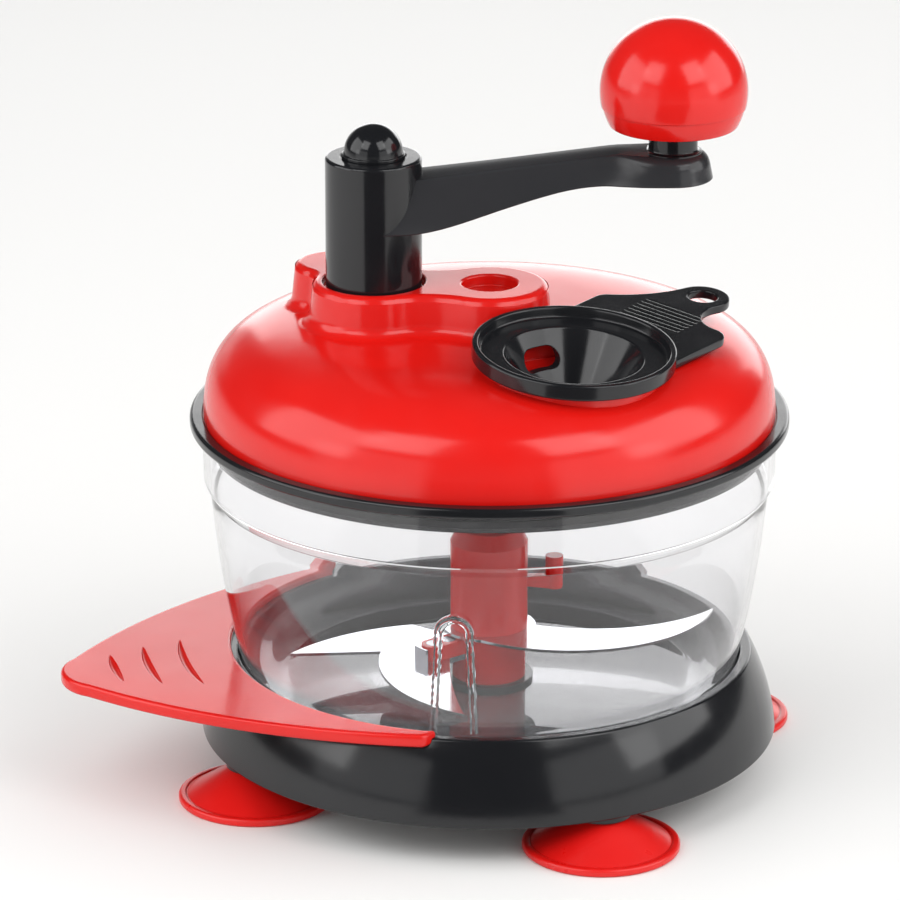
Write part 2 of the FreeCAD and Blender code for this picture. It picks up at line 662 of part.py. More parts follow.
def bowl():
    """The clear bowl, with its foot, ledge, rib and the boss that holds the pin."""
    inside = bowl_form(BOWL_WALL, BOWL_FLOOR_Z)
    wall = bowl_form(0, SEAT_Z).cut(inside)
    rib = rib_arch(0).cut(rib_arch(RIB_BAND)).common(bowl_form(-RIB_PROUD, SEAT_Z))
    rib = rib.cut(bowl_form(BOWL_WALL / 2, BOWL_FLOOR_Z))
    boss = disc(BOWL_BOSS_R, SEAT_Z + 1.0, BOWL_FLOOR_Z + BOWL_BOSS_HEIGHT)
    whole = fused([wall, boss, rib])
    return whole.cut(disc(PIN_R + FIT_GAP, SEAT_Z + 1.0, PIN_TOP_Z))


def bowl_pin():
    """The steel pin that the blade column turns on."""
    pin = disc(PIN_R, SEAT_Z + 1.0, PIN_TOP_Z)
    top = [e for e in pin.Edges if e.BoundBox.ZMin > PIN_TOP_Z - 0.01]
    return pin.makeChamfer(0.8, top)


def thrust_washer():
    """The black disc on the bowl's floor that carries the blade column."""
    return tube(WASHER_R, BOWL_BOSS_R + FIT_GAP, BOWL_FLOOR_Z, SLEEVE_BOTTOM_Z)


# ---------------------------------------------------------------- blade column
def lug_form(low, high):
    """The round-ended arm that the lower blades are riveted to."""
    bar = Part.makeBox(BLADE_LUG_END, 2 * BLADE_LUG_HALF, high - low,
                       Vector(0, -BLADE_LUG_HALF, low))
    return moved(bar.fuse(disc(BLADE_LUG_HALF, low, high, BLADE_LUG_END)), turn=BLADE_LUG_ANGLE)


def rivet_places():
    """Where the rivets go through the lug."""
    return [polar(r, BLADE_LUG_ANGLE) for r in BLADE_RIVET_PLACES]


def blade_column():
    """The red column: spigot, barrel, side lug and the socket for the drive dog."""
    shoulder = UPPER_BLADE_Z + BLADE_THICK
    barrel = turned([(0, SPIGOT_BOTTOM_Z), (SPIGOT_R, SPIGOT_BOTTOM_Z), (SPIGOT_R, shoulder),
                     (COLUMN_R, shoulder), (COLUMN_R, COLUMN_SHOULDER_Z),
                     (COLUMN_NECK_R, COLUMN_TOP_Z), (0, COLUMN_TOP_Z)])
    arm = Part.makeBox(PADDLE_LUG_REACH, 2 * PADDLE_LUG_HALF, PADDLE_LUG_THICK,
                       Vector(0, -PADDLE_LUG_HALF, PADDLE_LUG_Z))
    arm = arm.fuse(disc(PADDLE_KNUCKLE_R, PADDLE_LUG_Z, PADDLE_KNUCKLE_TOP_Z,
                        PADDLE_KNUCKLE_AT))
    column = fused([barrel, moved(arm, turn=PADDLE_LUG_ANGLE)])
    column = column.cut(disc(COLUMN_BUSH_R + FIT_GAP, SPIGOT_BOTTOM_Z - COVER,
                             COLUMN_BUSH_TOP_Z))
    return column.cut(hexagon(DOG_FLATS + 2 * DOG_GAP, DOG_BOTTOM_Z - 1.0,
                              COLUMN_TOP_Z + COVER))


def column_sleeve():
    """The lower sleeve on the column's spigot, with the lug for the lower blades."""
    sleeve = disc(SLEEVE_R, SLEEVE_BOTTOM_Z, UPPER_BLADE_Z)
    sleeve = fused([sleeve, lug_form(BLADE_LUG_BOTTOM_Z, BLADE_LUG_TOP_Z)])
    sleeve = sleeve.cut(disc(SPIGOT_R + FIT_GAP, SPIGOT_BOTTOM_Z, UPPER_BLADE_Z + COVER))
    sleeve = sleeve.cut(disc(BOWL_BOSS_R + 1.0, SLEEVE_BOTTOM_Z - COVER, SPIGOT_BOTTOM_Z + 0.1))
    for p in rivet_places():
        sleeve = sleeve.cut(disc(BLADE_RIVET_R + FIT_GAP, BLADE_LUG_BOTTOM_Z - COVER,
                                 BLADE_LUG_TOP_Z + COVER, p.x, p.y))
        sleeve = sleeve.cut(disc(BLADE_RIVET_HEAD_R + FIT_GAP,
                                 BLADE_LUG_TOP_Z - BLADE_RIVET_HEAD,
                                 BLADE_LUG_TOP_Z + COVER, p.x, p.y))
    return sleeve


def column_bush():
    """The plain bearing inside the column."""
    return tube(COLUMN_BUSH_R, PIN_R + RUN_GAP, COLUMN_BUSH_BOTTOM_Z, COLUMN_BUSH_TOP_Z)


def blade_rivets():
    """The rivets through both lower blades and the lug, with sunk upper heads."""
    foot_top = BLADE_LUG_BOTTOM_Z - 2 * BLADE_THICK
    rivets = []
    for p in rivet_places():
        shank = disc(BLADE_RIVET_R, foot_top - BLADE_RIVET_HEAD, BLADE_LUG_TOP_Z, p.x, p.y)
        foot = disc(BLADE_RIVET_HEAD_R, foot_top - BLADE_RIVET_HEAD, foot_top, p.x, p.y)
        head = disc(BLADE_RIVET_HEAD_R, BLADE_LUG_TOP_Z - BLADE_RIVET_HEAD, BLADE_LUG_TOP_Z,
                    p.x, p.y)
        rivets.append(fused([shank, foot, head]))
    return Part.makeCompound(rivets)


def flat_blade(z, runs):
    """A flat blade from runs of two points (a line) or three points (an arc)."""
    edges = []
    for run in runs:
        ends = [Vector(p[0], p[1], z) for p in run]
        maker = Part.LineSegment if len(ends) == 2 else Part.Arc
        edges.append(maker(*ends).toShape())
    return Part.Face(Part.Wire(edges)).extrude(Vector(0, 0, BLADE_THICK))


def upper_blade():
    """The long sickle blade, with the ring that is clamped under the column's barrel."""
    z = UPPER_BLADE_Z
    low, high = UPPER_BLADE_ROOT
    arm = flat_blade(z, [(low, UPPER_BLADE_BELLY, UPPER_BLADE_TIP),
                         (UPPER_BLADE_TIP, UPPER_BLADE_HOLLOW, high), (high, low)])
    ring = disc(UPPER_BLADE_HUB_R, z, z + BLADE_THICK)
    return fused([ring, arm]).cut(disc(SPIGOT_R + FIT_GAP, z - COVER, z + COVER))


def riveted_blade(z, leaf):
    """A lower blade with its riveted root, cut clear of the sleeve."""
    blade = fused([leaf, lug_form(z, z + BLADE_THICK)])
    blade = blade.cut(disc(SLEEVE_R + SEAT_GAP, z - COVER, z + COVER))
    for p in rivet_places():
        blade = blade.cut(disc(BLADE_RIVET_R + FIT_GAP, z - COVER, z + COVER, p.x, p.y))
    return blade


def lower_blade_front():
    """The lower blade that curls to the front, with a tang turned up at the lug's end."""
    z = BLADE_LUG_BOTTOM_Z - BLADE_THICK
    leaf = flat_blade(z, [(FRONT_BLADE_TIP, FRONT_BLADE_BELLY, FRONT_BLADE_HEEL),
                          (FRONT_BLADE_HEEL, FRONT_BLADE_ROOT),
                          (FRONT_BLADE_ROOT, FRONT_BLADE_THROAT),
                          (FRONT_BLADE_THROAT, FRONT_BLADE_HOLLOW, FRONT_BLADE_TIP)])
    tang = Part.makeBox(BLADE_THICK, BLADE_TANG_WIDTH, BLADE_TANG_TOP_Z - z,
                        Vector(BLADE_LUG_END + BLADE_LUG_HALF + SEAT_GAP,
                               -BLADE_TANG_WIDTH / 2, z))
    return fused([riveted_blade(z, leaf), moved(tang, turn=BLADE_LUG_ANGLE)])


def lower_blade_left():
    """The lower blade that points left, flat against the front one."""
    z = BLADE_LUG_BOTTOM_Z - 2 * BLADE_THICK
    leaf = flat_blade(z, [(LEFT_BLADE_TIP, LEFT_BLADE_BELLY, LEFT_BLADE_HEEL),
                          (LEFT_BLADE_HEEL, LEFT_BLADE_ROOT),
                          (LEFT_BLADE_ROOT, LEFT_BLADE_THROAT),
                          (LEFT_BLADE_THROAT, LEFT_BLADE_HOLLOW),
                          (LEFT_BLADE_HOLLOW, LEFT_BLADE_TIP)])
    return riveted_blade(z, leaf)


# ---------------------------------------------------------------- lid
def dome(inset):
    """The dome's outside, or its inside when inset by a wall, as one solid."""
    radius = DOME_R - inset
    height = DOME_HEIGHT - inset
    points = []
    for i in range(13):
        turn = math.radians(90.0 * i / 12)
        r = radius * max(math.cos(turn), 0.0) ** DOME_SIDE_POWER
        points.append(Vector(0.0 if i == 12 else r, 0,
                             DOME_BOTTOM_Z + height * math.sin(turn) ** DOME_RISE_POWER))
    curve = Part.BSplineCurve()
    curve.interpolate(points)
    edges = [line((0, DOME_BOTTOM_Z), (radius, DOME_BOTTOM_Z)), curve.toShape(),
             line((0, DOME_BOTTOM_Z + height), (0, DOME_BOTTOM_Z))]
    return turned_edges(edges)


def waist(c1, r1, c2, r2, radius, left):
    """The centre of a circle that touches two circles from outside, on one side of them."""
    gap = c2 - c1
    d = gap.Length
    a = r1 + radius
    b = r2 + radius
    along = (a * a - b * b + d * d) / (2 * d)
    across = math.sqrt(a * a - along * along)
    side = Vector(-gap.y, gap.x, 0) / d
    return c1 + gap / d * along + side * (across if left else -across)


def touch(centre, radius, towards):
    """The point of a circle that faces another centre."""
    way = towards - centre
    return centre + way / way.Length * radius


def short_arc(centre, radius, a, b, beyond):
    """An arc from a to b that bulges towards the point beyond."""
    middle = touch(centre, radius, beyond)
    return Part.Arc(a, middle, b).toShape()


def plateau_wire(grow, z):
    """The three-lobed outline of the gear tower, grown by an offset."""
    hub = Vector(HUB_X, HUB_Y, 0)
    axis = Vector(0, 0, 0)
    lug = Vector(LUG_LOBE_X, LUG_LOBE_Y, 0)
    radii = {"hub": HUB_LOBE_R + grow, "axis": AXIS_LOBE_R + grow, "lug": LUG_LOBE_R + grow}
    front = waist(hub, HUB_LOBE_R, axis, AXIS_LOBE_R, FRONT_WAIST_R, False)
    back = waist(axis, AXIS_LOBE_R, lug, LUG_LOBE_R, BACK_WAIST_R, False)
    notch = waist(lug, LUG_LOBE_R, hub, HUB_LOBE_R, NOTCH_WAIST_R, False)
    axis_front = touch(axis, radii["axis"], front)
    axis_back = touch(axis, radii["axis"], back)
    lug_back = touch(lug, radii["lug"], back)
    lug_notch = touch(lug, radii["lug"], notch)
    hub_notch = touch(hub, radii["hub"], notch)
    hub_front = touch(hub, radii["hub"], front)
    edges = [short_arc(axis, radii["axis"], axis_front, axis_back, axis * 2 - hub),
             short_arc(back, BACK_WAIST_R - grow, axis_back, lug_back, (axis + lug) / 2),
             short_arc(lug, radii["lug"], lug_back, lug_notch, lug * 2),
             short_arc(notch, NOTCH_WAIST_R - grow, lug_notch, hub_notch, (lug + hub) / 2),
             short_arc(hub, radii["hub"], hub_notch, hub_front, hub * 3 - axis - lug),
             short_arc(front, FRONT_WAIST_R - grow, hub_front, axis_front, (hub + axis) / 2)]
    wire = Part.Wire(edges)
    wire.translate(Vector(0, 0, z))
    return wire


def plateau(inset, top):
    """The gear tower as a drafted block, from inside the dome up to its top."""
    low = DOME_BOTTOM_Z + DOME_HEIGHT / 2
    flare = (top - low) * math.tan(math.radians(PLATEAU_DRAFT))
    return Part.makeLoft([plateau_wire(flare - inset, low), plateau_wire(-inset, top)],
                         True, True)


def outline_edges(shape, z):
    """The edges of a shape that lie in one level plane."""
    return [e for e in shape.Edges
            if abs(e.BoundBox.ZMin - z) < 0.01 and abs(e.BoundBox.ZMax - z) < 0.01]


def port_frame(shape):
    """A shape modelled about the port's own axis, tilted outwards and set on the dome."""
    away = math.degrees(math.atan2(PORT_Y, PORT_X))
    copy = shape.copy()
    copy.rotate(Vector(0, 0, 0), UP, -away)
    copy.rotate(Vector(0, 0, 0), Vector(0, 1, 0), PORT_TILT)
    copy.rotate(Vector(0, 0, 0), UP, away)
    copy.translate(Vector(PORT_X, PORT_Y, PORT_SEAT_Z))
    return copy


def lid_screw_posts():
    """Where the lid's screw posts stand."""
    step = 360.0 / LID_SCREW_COUNT
    return [polar(LID_SCREW_PITCH_R, LID_SCREW_FIRST_ANGLE + step * i)
            for i in range(LID_SCREW_COUNT)]


def lid_shell():
    """The red dome with its gear tower, bearings, screw posts and feed port."""
    tower = plateau(0, PLATEAU_TOP_Z)
    outer = dome(0).fuse(tower).removeSplitter()
    outer = outer.makeFillet(PLATEAU_TOP_ROUND, outline_edges(outer, PLATEAU_TOP_Z))
    collar = port_frame(disc(PORT_COLLAR_R, -PORT_COLLAR_DEPTH, 0.0))
    outer = outer.fuse(collar)
    inner = dome(WALL).fuse(plateau(WALL, PLATEAU_TOP_Z - WALL))
    rim = tube(DOME_R - WALL + 0.01, DOME_SPIGOT_R - WALL, DOME_BOTTOM_Z, DOME_BOTTOM_Z + 1.5)
    shell = outer.cut(inner)
    recess_floor = HUB_RECESS_Z
    hole_floor = PLATEAU_TOP_Z - AXIS_HOLE_DEPTH
    inside = [disc(HUB_RECESS_R + WALL, recess_floor - WALL, PLATEAU_TOP_Z - 1.0, HUB_X, HUB_Y),
              disc(AXIS_HOLE_R + WALL, hole_floor - WALL, PLATEAU_TOP_Z - 1.0),
              disc(CRANK_BUSH_R + WALL, CRANK_BUSH_BOTTOM_Z, recess_floor, HUB_X, HUB_Y),
              disc(TOP_BUSH_R + WALL, TOP_BUSH_BOTTOM_Z, hole_floor)]
    inside += [disc(LID_POST_R, LID_RING_Z + LID_PLATE_THICK + FIT_GAP,
                    DOME_BOTTOM_Z + LID_POST_HEIGHT, p.x, p.y) for p in lid_screw_posts()]
    port_wall = disc(PORT_BORE_R + PORT_WALL, LID_RING_Z + LID_PLATE_THICK + FIT_GAP,
                     PORT_SEAT_Z - PORT_WALL_DROP, PORT_X, PORT_Y)
    filled = dome(WALL / 2).fuse(plateau(WALL / 2, PLATEAU_TOP_Z - WALL / 2))
    low_filled = filled.fuse(disc(DOME_R - WALL / 2, LID_RING_Z, DOME_BOTTOM_Z))
    inside = [piece.common(low_filled) for piece in inside + [port_wall]]
    shell = fused([shell, rim] + inside)
    shell = shell.cut(disc(HUB_RECESS_R, recess_floor, PLATEAU_TOP_Z + COVER, HUB_X, HUB_Y))
    shell = shell.cut(disc(AXIS_HOLE_R, hole_floor, PLATEAU_TOP_Z + COVER))
    shell = shell.cut(disc(CRANK_BUSH_R + FIT_GAP, CRANK_BUSH_BOTTOM_Z - COVER,
                           PLATEAU_TOP_Z, HUB_X, HUB_Y))
    shell = shell.cut(disc(TOP_BUSH_R + FIT_GAP, TOP_BUSH_BOTTOM_Z - COVER, TOP_BUSH_TOP_Z))
    bore = port_frame(disc(PORT_BORE_R, -PORT_BORE_DEPTH, COVER))
    low_bore = disc(PORT_BORE_R, LID_RING_Z, PORT_SEAT_Z - PORT_WALL_DROP * 2, PORT_X, PORT_Y)
    shell = shell.cut(bore).cut(low_bore)
    for p in lid_screw_posts():
        shell = shell.cut(disc(SCREW_R + FIT_GAP, LID_RING_Z, LID_RING_Z + SCREW_BITE + 3.0,
                               p.x, p.y))
    return shell


def lid_inner_plate():
    """The black ring and floor under the dome, with the skirt that centres in the bowl."""
    top = LID_RING_Z + LID_PLATE_THICK
    edge = LID_RING_ROUND
    skirt_in = LID_SKIRT_R - LID_SKIRT_WALL
    dome_seat = DOME_R + SEAT_GAP
    profile = [(0, LID_RING_Z), (skirt_in, LID_RING_Z), (skirt_in, LID_SKIRT_BOTTOM_Z),
               (LID_SKIRT_R, LID_SKIRT_BOTTOM_Z), (LID_SKIRT_R, LID_RING_Z),
               (LID_RING_R - edge, LID_RING_Z), (LID_RING_R, LID_RING_Z + edge),
               (LID_RING_R, LID_RING_TOP_Z - edge), (LID_RING_R - edge, LID_RING_TOP_Z),
               (dome_seat, LID_RING_TOP_Z), (dome_seat, DOME_BOTTOM_Z),
               (DOME_SPIGOT_R - WALL - SEAT_GAP, DOME_BOTTOM_Z),
               (DOME_SPIGOT_R - WALL - SEAT_GAP, top), (0, top)]
    boss = disc(BOTTOM_BUSH_R + BUSH_BOSS_WALL, LID_RING_Z, BOTTOM_BUSH_TOP_Z)
    plate = fused([turned(profile), boss])
    plate = plate.cut(disc(BOTTOM_BUSH_R + FIT_GAP, LID_RING_Z - COVER,
                           BOTTOM_BUSH_TOP_Z + COVER))
    plate = plate.cut(disc(PORT_BORE_R, LID_RING_Z - COVER, top + COVER, PORT_X, PORT_Y))
    for p in lid_screw_posts():
        plate = plate.cut(disc(SCREW_R + FIT_GAP, LID_RING_Z - COVER, top + COVER, p.x, p.y))
    groove = tube(LID_SKIRT_R + COVER, LID_SKIRT_R - SEAL_DEPTH, SEAL_Z, SEAL_Z + SEAL_WIDTH)
    return plate.cut(groove)


def lid_seal():
    """The soft ring between the lid's skirt and the bowl's wall."""
    outer = BOWL_LEDGE_TOP_R - BOWL_WALL - SEAT_GAP
    return tube(outer, LID_SKIRT_R - SEAL_DEPTH + FIT_GAP, SEAL_Z + FIT_GAP,
                SEAL_Z + SEAL_WIDTH - FIT_GAP)


def lid_screws():
    """The screws that hold the inner plate to the dome."""
    one = screw(SCREW_R, SCREW_HEAD_R, SCREW_HEAD_HEIGHT, LID_RING_Z, SCREW_BITE, True)
    return Part.makeCompound([moved(one, p.x, p.y) for p in lid_screw_posts()])


# ---------------------------------------------------------------- gear drive
def involute_flank(teeth, root_r, tip_r, base_r, half_angle_at_base):
    """One flank from root to tip as (radius, angle) pairs, in radians from the tooth's middle."""
    flank = []
    if root_r < base_r:
        flank.append((root_r, half_angle_at_base))
    start = max(base_r, root_r)
    for i in range(FLANK_STEPS + 1):
        r = start + (tip_r - start) * i / FLANK_STEPS
        roll = math.sqrt(max((r / base_r) ** 2 - 1, 0.0))
        flank.append((r, half_angle_at_base - (roll - math.atan(roll))))
    return flank


def gear(teeth, width, flats, bottom, x, y, turn):
    """A spur gear with faceted involute teeth and a hexagonal bore."""
    pitch_r = teeth * GEAR_MODULE / 2
    pressure = math.radians(PRESSURE_ANGLE)
    base_r = pitch_r * math.cos(pressure)
    tip_r = pitch_r + ADDENDUM * GEAR_MODULE
    root_r = pitch_r - DEDENDUM * GEAR_MODULE
    half_pitch = (math.pi * GEAR_MODULE / 2 - TOOTH_THINNING) / 2 / pitch_r
    half_base = half_pitch + math.tan(pressure) - pressure
    flank = involute_flank(teeth, root_r, tip_r, base_r, half_base)
    points = []
    for tooth in range(teeth):
        middle = math.radians(turn) + 2 * math.pi * tooth / teeth
        rising = [(r, middle - a) for r, a in flank]
        falling = [(r, middle + a) for r, a in reversed(flank)]
        points += [(x + r * math.cos(a), y + r * math.sin(a)) for r, a in rising + falling]
    blank = prism(points, bottom, bottom + width)
    return blank.cut(hexagon(flats + 2 * FIT_GAP, bottom - COVER, bottom + width + COVER,
                             x, y))


MESH_ANGLE = math.degrees(math.atan2(-HUB_Y, -HUB_X))


def crank_gear():
    """The large gear on the crank's shaft."""
    return gear(CRANK_GEAR_TEETH, CRANK_GEAR_WIDTH, SHAFT_FLATS, CRANK_GEAR_Z, HUB_X, HUB_Y,
                MESH_ANGLE)


def pinion():
    """The small gear on the drive spindle, with a gap facing the large gear's tooth."""
    return gear(PINION_TEETH, PINION_WIDTH, PINION_FLATS, PINION_Z, 0, 0,
                MESH_ANGLE + 180 + 180.0 / PINION_TEETH)


def drive_spindle():
    """The spindle from the pinion down to the dog in the blade column."""
    neck_top = SPINDLE_FLANGE_Z
    pieces = [hexagon(DOG_FLATS, DOG_BOTTOM_Z, COLUMN_TOP_Z + 2.0),
              disc(SPINDLE_NECK_R, COLUMN_TOP_Z + SEAT_GAP, neck_top),
              disc(SPINDLE_R, neck_top - 1.0, PINION_Z),
              hexagon(PINION_FLATS, PINION_Z - 1.0, PINION_Z + PINION_WIDTH),
              disc(SPINDLE_TOP_R, PINION_Z + PINION_WIDTH - 1.0, SPINDLE_TOP_Z)]
    return fused(pieces)


def pinion_clip():
    """The spring clip that holds the pinion on the spindle."""
    low = PINION_Z + PINION_WIDTH + FIT_GAP
    ring = tube(CLIP_R, SPINDLE_TOP_R + FIT_GAP, low, low + CLIP_THICK)
    mouth = Part.makeBox(CLIP_R + COVER, SPINDLE_TOP_R, CLIP_THICK + 2 * COVER,
                         Vector(0, -SPINDLE_TOP_R / 2, low - COVER))
    return ring.cut(mouth)


def spindle_bottom_bush():
    """The flanged bearing in the inner plate."""
    flange_low = LID_RING_Z - BOTTOM_BUSH_FLANGE
    sleeve = disc(BOTTOM_BUSH_R, flange_low, BOTTOM_BUSH_TOP_Z)
    flange = disc(BOTTOM_BUSH_FLANGE_R, flange_low, LID_RING_Z)
    bore = disc(SPINDLE_R + RUN_GAP, flange_low - COVER, BOTTOM_BUSH_TOP_Z + COVER)
    return fused([sleeve, flange]).cut(bore)


def spindle_top_bush():
    """The plain bearing in the tower over the pinion."""
    return tube(TOP_BUSH_R, SPINDLE_TOP_R + RUN_GAP, TOP_BUSH_BOTTOM_Z, TOP_BUSH_TOP_Z)


# ---------------------------------------------------------------- crank
def crank_bush():
    """The flanged bearing that the crank's shaft turns in."""
    floor = HUB_RECESS_Z
    sleeve = disc(CRANK_BUSH_R, CRANK_BUSH_BOTTOM_Z, floor, HUB_X, HUB_Y)
    flange = disc(CRANK_BUSH_FLANGE_R, floor, floor + CRANK_BUSH_FLANGE, HUB_X, HUB_Y)
    bore = disc(SHAFT_R + RUN_GAP, CRANK_BUSH_BOTTOM_Z - COVER, PLATEAU_TOP_Z + COVER,
                HUB_X, HUB_Y)
    return fused([sleeve, flange]).cut(bore)


def crank_shaft():
    """The steel shaft: a hexagon for the gear, a journal, and a hexagon for the hub."""
    pieces = [hexagon(SHAFT_FLATS, CRANK_GEAR_Z, GEAR_TOP_Z + 1.0, HUB_X, HUB_Y),
              disc(SHAFT_R, GEAR_TOP_Z, HUB_CORE_BOTTOM_Z, HUB_X, HUB_Y),
              hexagon(SHAFT_FLATS, HUB_CORE_BOTTOM_Z - 1.0, SHAFT_HEX_TOP_Z, HUB_X, HUB_Y)]
    shaft = fused(pieces)
    shaft = shaft.cut(disc(HUB_SCREW_R + FIT_GAP, SHAFT_HEX_TOP_Z - HUB_SCREW_LENGTH,
                           SHAFT_HEX_TOP_Z + COVER, HUB_X, HUB_Y))
    return shaft.cut(disc(HUB_SCREW_R + FIT_GAP, CRANK_GEAR_Z - COVER,
                          CRANK_GEAR_Z + GEAR_SCREW_LENGTH, HUB_X, HUB_Y))


def gear_washer():
    """The washer under the large gear."""
    return tube(GEAR_WASHER_R, HUB_SCREW_R + FIT_GAP, CRANK_GEAR_Z - GEAR_WASHER_THICK,
                CRANK_GEAR_Z, HUB_X, HUB_Y)


def gear_screw():
    """The screw that holds the large gear on the shaft."""
    one = screw(HUB_SCREW_R, HUB_SCREW_HEAD_R, GEAR_SCREW_HEAD_HEIGHT,
                CRANK_GEAR_Z - GEAR_WASHER_THICK, GEAR_SCREW_LENGTH, True)
    return moved(one, HUB_X, HUB_Y)


def hub_screw():
    """The screw that holds the crank on its shaft, under the cap."""
    one = screw(HUB_SCREW_R, HUB_SCREW_HEAD_R, HUB_SCREW_HEAD_HEIGHT, HUB_SCREW_SEAT_Z,
                HUB_SCREW_LENGTH, False)
    return moved(one, HUB_X, HUB_Y)


def hub_cap():
    """The half-round cap that covers the hub's screw."""
    low = HUB_TOP_Z
    side_z = low + CAP_LIP_HEIGHT
    slope = math.sqrt(0.5)
    shoulder = (CAP_R * slope, side_z + CAP_R * slope)
    edges = [line((0, low - CAP_STEM_DEPTH), (CAP_STEM_R, low - CAP_STEM_DEPTH)),
             line((CAP_STEM_R, low - CAP_STEM_DEPTH), (CAP_STEM_R, low)),
             line((CAP_STEM_R, low), (CAP_LIP_R, low)),
             line((CAP_LIP_R, low), (CAP_LIP_R, side_z)),
             line((CAP_LIP_R, side_z), (CAP_R, side_z)),
             arc((CAP_R, side_z), shoulder, (0, side_z + CAP_R)),
             line((0, side_z + CAP_R), (0, low - CAP_STEM_DEPTH))]
    cap = turned_edges(edges)
    room = disc(CAP_STEM_R - WALL / 2, low - CAP_STEM_DEPTH - COVER, side_z + CAP_R * 0.4)
    return moved(cap.cut(room), HUB_X, HUB_Y)


def ease(t):
    """A smooth step from 0 to 1."""
    t = min(max(t, 0.0), 1.0)
    return t * t * (3 - 2 * t)


def between(a, b, share):
    """The value a given share of the way from a to b."""
    return a + (b - a) * share


def arm_solid(skin):
    """The arm as drafted sections along +X from the hub's axis; skin insets it."""
    wires = []
    for i in range(ARM_SECTIONS):
        t = i / (ARM_SECTIONS - 1)
        low = between(ARM_ROOT_BOTTOM_Z, ARM_END_BOTTOM_Z, ease((t - 0.1) / 0.7))
        high = between(ARM_ROOT_TOP_Z, ARM_END_TOP_Z, min(t / 0.82, 1.0))
        wide = between(HUB_R - 0.2, ARM_MIDDLE_BOTTOM_HALF, ease((t - 0.02) / 0.42))
        wide = between(wide, ARM_END_BOTTOM_HALF, ease((t - 0.6) / 0.4))
        top = between(ARM_ROOT_TOP_HALF, ARM_TOP_HALF, ease(t / 0.5)) - skin
        if skin:
            low = low - COVER
        corners = [(skin - wide, low), (wide - skin, low), (top, high - skin),
                   (-top, high - skin)]
        wires.append(Part.makePolygon([Vector(ARM_LENGTH * t, y, z)
                                       for y, z in corners + [corners[0]]]))
    return Part.makeLoft(wires, True, False)


def knob_centre():
    """The knob's axis in plan."""
    return Vector(HUB_X, HUB_Y, 0) + polar(ARM_LENGTH, ARM_ANGLE)


def crank_arm():
    """The black moulding: hub, drafted arm, end pad and the knob's neck."""
    hub = disc(HUB_R, HUB_BOTTOM_Z, HUB_TOP_Z)
    top = [e for e in hub.Edges if e.BoundBox.ZMin > HUB_TOP_Z - 0.01]
    hub = hub.makeFillet(HUB_EDGE_ROUND, top)
    pad = Part.makeCone(PAD_BOTTOM_R, PAD_TOP_R, PAD_TOP_Z - ARM_END_BOTTOM_Z,
                        Vector(ARM_LENGTH, 0, ARM_END_BOTTOM_Z))
    pad = pad.makeFillet(PAD_ROUND,
                         [e for e in pad.Edges if e.BoundBox.ZMin > PAD_TOP_Z - 0.01])
    neck = disc(NECK_R, PAD_TOP_Z - 1.0, NECK_TOP_Z, ARM_LENGTH, 0)
    arm = arm_solid(0)
    core_clear = disc(HUB_R - HUB_SKIN, HUB_BOTTOM_Z - COVER, HUB_CAVITY_TOP_Z)
    pad_keep = disc(PAD_BOTTOM_R + ARM_SKIN, ARM_END_BOTTOM_Z - COVER, PAD_TOP_Z, ARM_LENGTH, 0)
    hollow = arm_solid(ARM_SKIN).cut(disc(HUB_R, HUB_BOTTOM_Z, HUB_TOP_Z)).cut(pad_keep)
    body = fused([hub, arm, pad, neck]).cut(hollow)
    core = disc(HUB_CORE_R, HUB_CORE_BOTTOM_Z, HUB_CAVITY_TOP_Z + 1.0)
    body = fused([body.cut(core_clear), core])
    body = body.cut(hexagon(SHAFT_FLATS + 2 * FIT_GAP, HUB_CORE_BOTTOM_Z - COVER,
                            SHAFT_HEX_TOP_Z + 0.5, turn=-ARM_ANGLE))
    body = body.cut(disc(HUB_SCREW_R + SEAT_GAP, SHAFT_HEX_TOP_Z, HUB_TOP_Z + COVER))
    body = body.cut(disc(CAP_STEM_R + FIT_GAP, HUB_SCREW_SEAT_Z, HUB_TOP_Z + COVER))
    body = body.cut(disc(KNOB_PIN_R + FIT_GAP, ARM_END_BOTTOM_Z - COVER,
                         NECK_TOP_Z + COVER, ARM_LENGTH, 0))
    body = body.cut(disc(KNOB_PIN_HEAD_R + SEAT_GAP, ARM_END_BOTTOM_Z - COVER,
                         KNOB_PIN_FOOT_Z + KNOB_PIN_HEAD, ARM_LENGTH, 0))
    return moved(body, HUB_X, HUB_Y, 0, ARM_ANGLE)


# ---------------------------------------------------------------- knob
def knob_form(radius, low, high):
    """A slice of the knob's ball."""
    ball = Part.makeSphere(radius, Vector(0, 0, KNOB_CENTRE_Z))
    return ball.common(disc(2 * KNOB_R, low, high))


def knob_shell():
    """The upper part of the ball knob."""
    top = KNOB_CENTRE_Z + KNOB_R + COVER
    outer = knob_form(KNOB_R, KNOB_SEAM_Z, top)
    inner = knob_form(KNOB_R - KNOB_WALL, KNOB_SEAM_Z - COVER, top)
    c = knob_centre()
    return moved(outer.cut(inner), c.x, c.y)


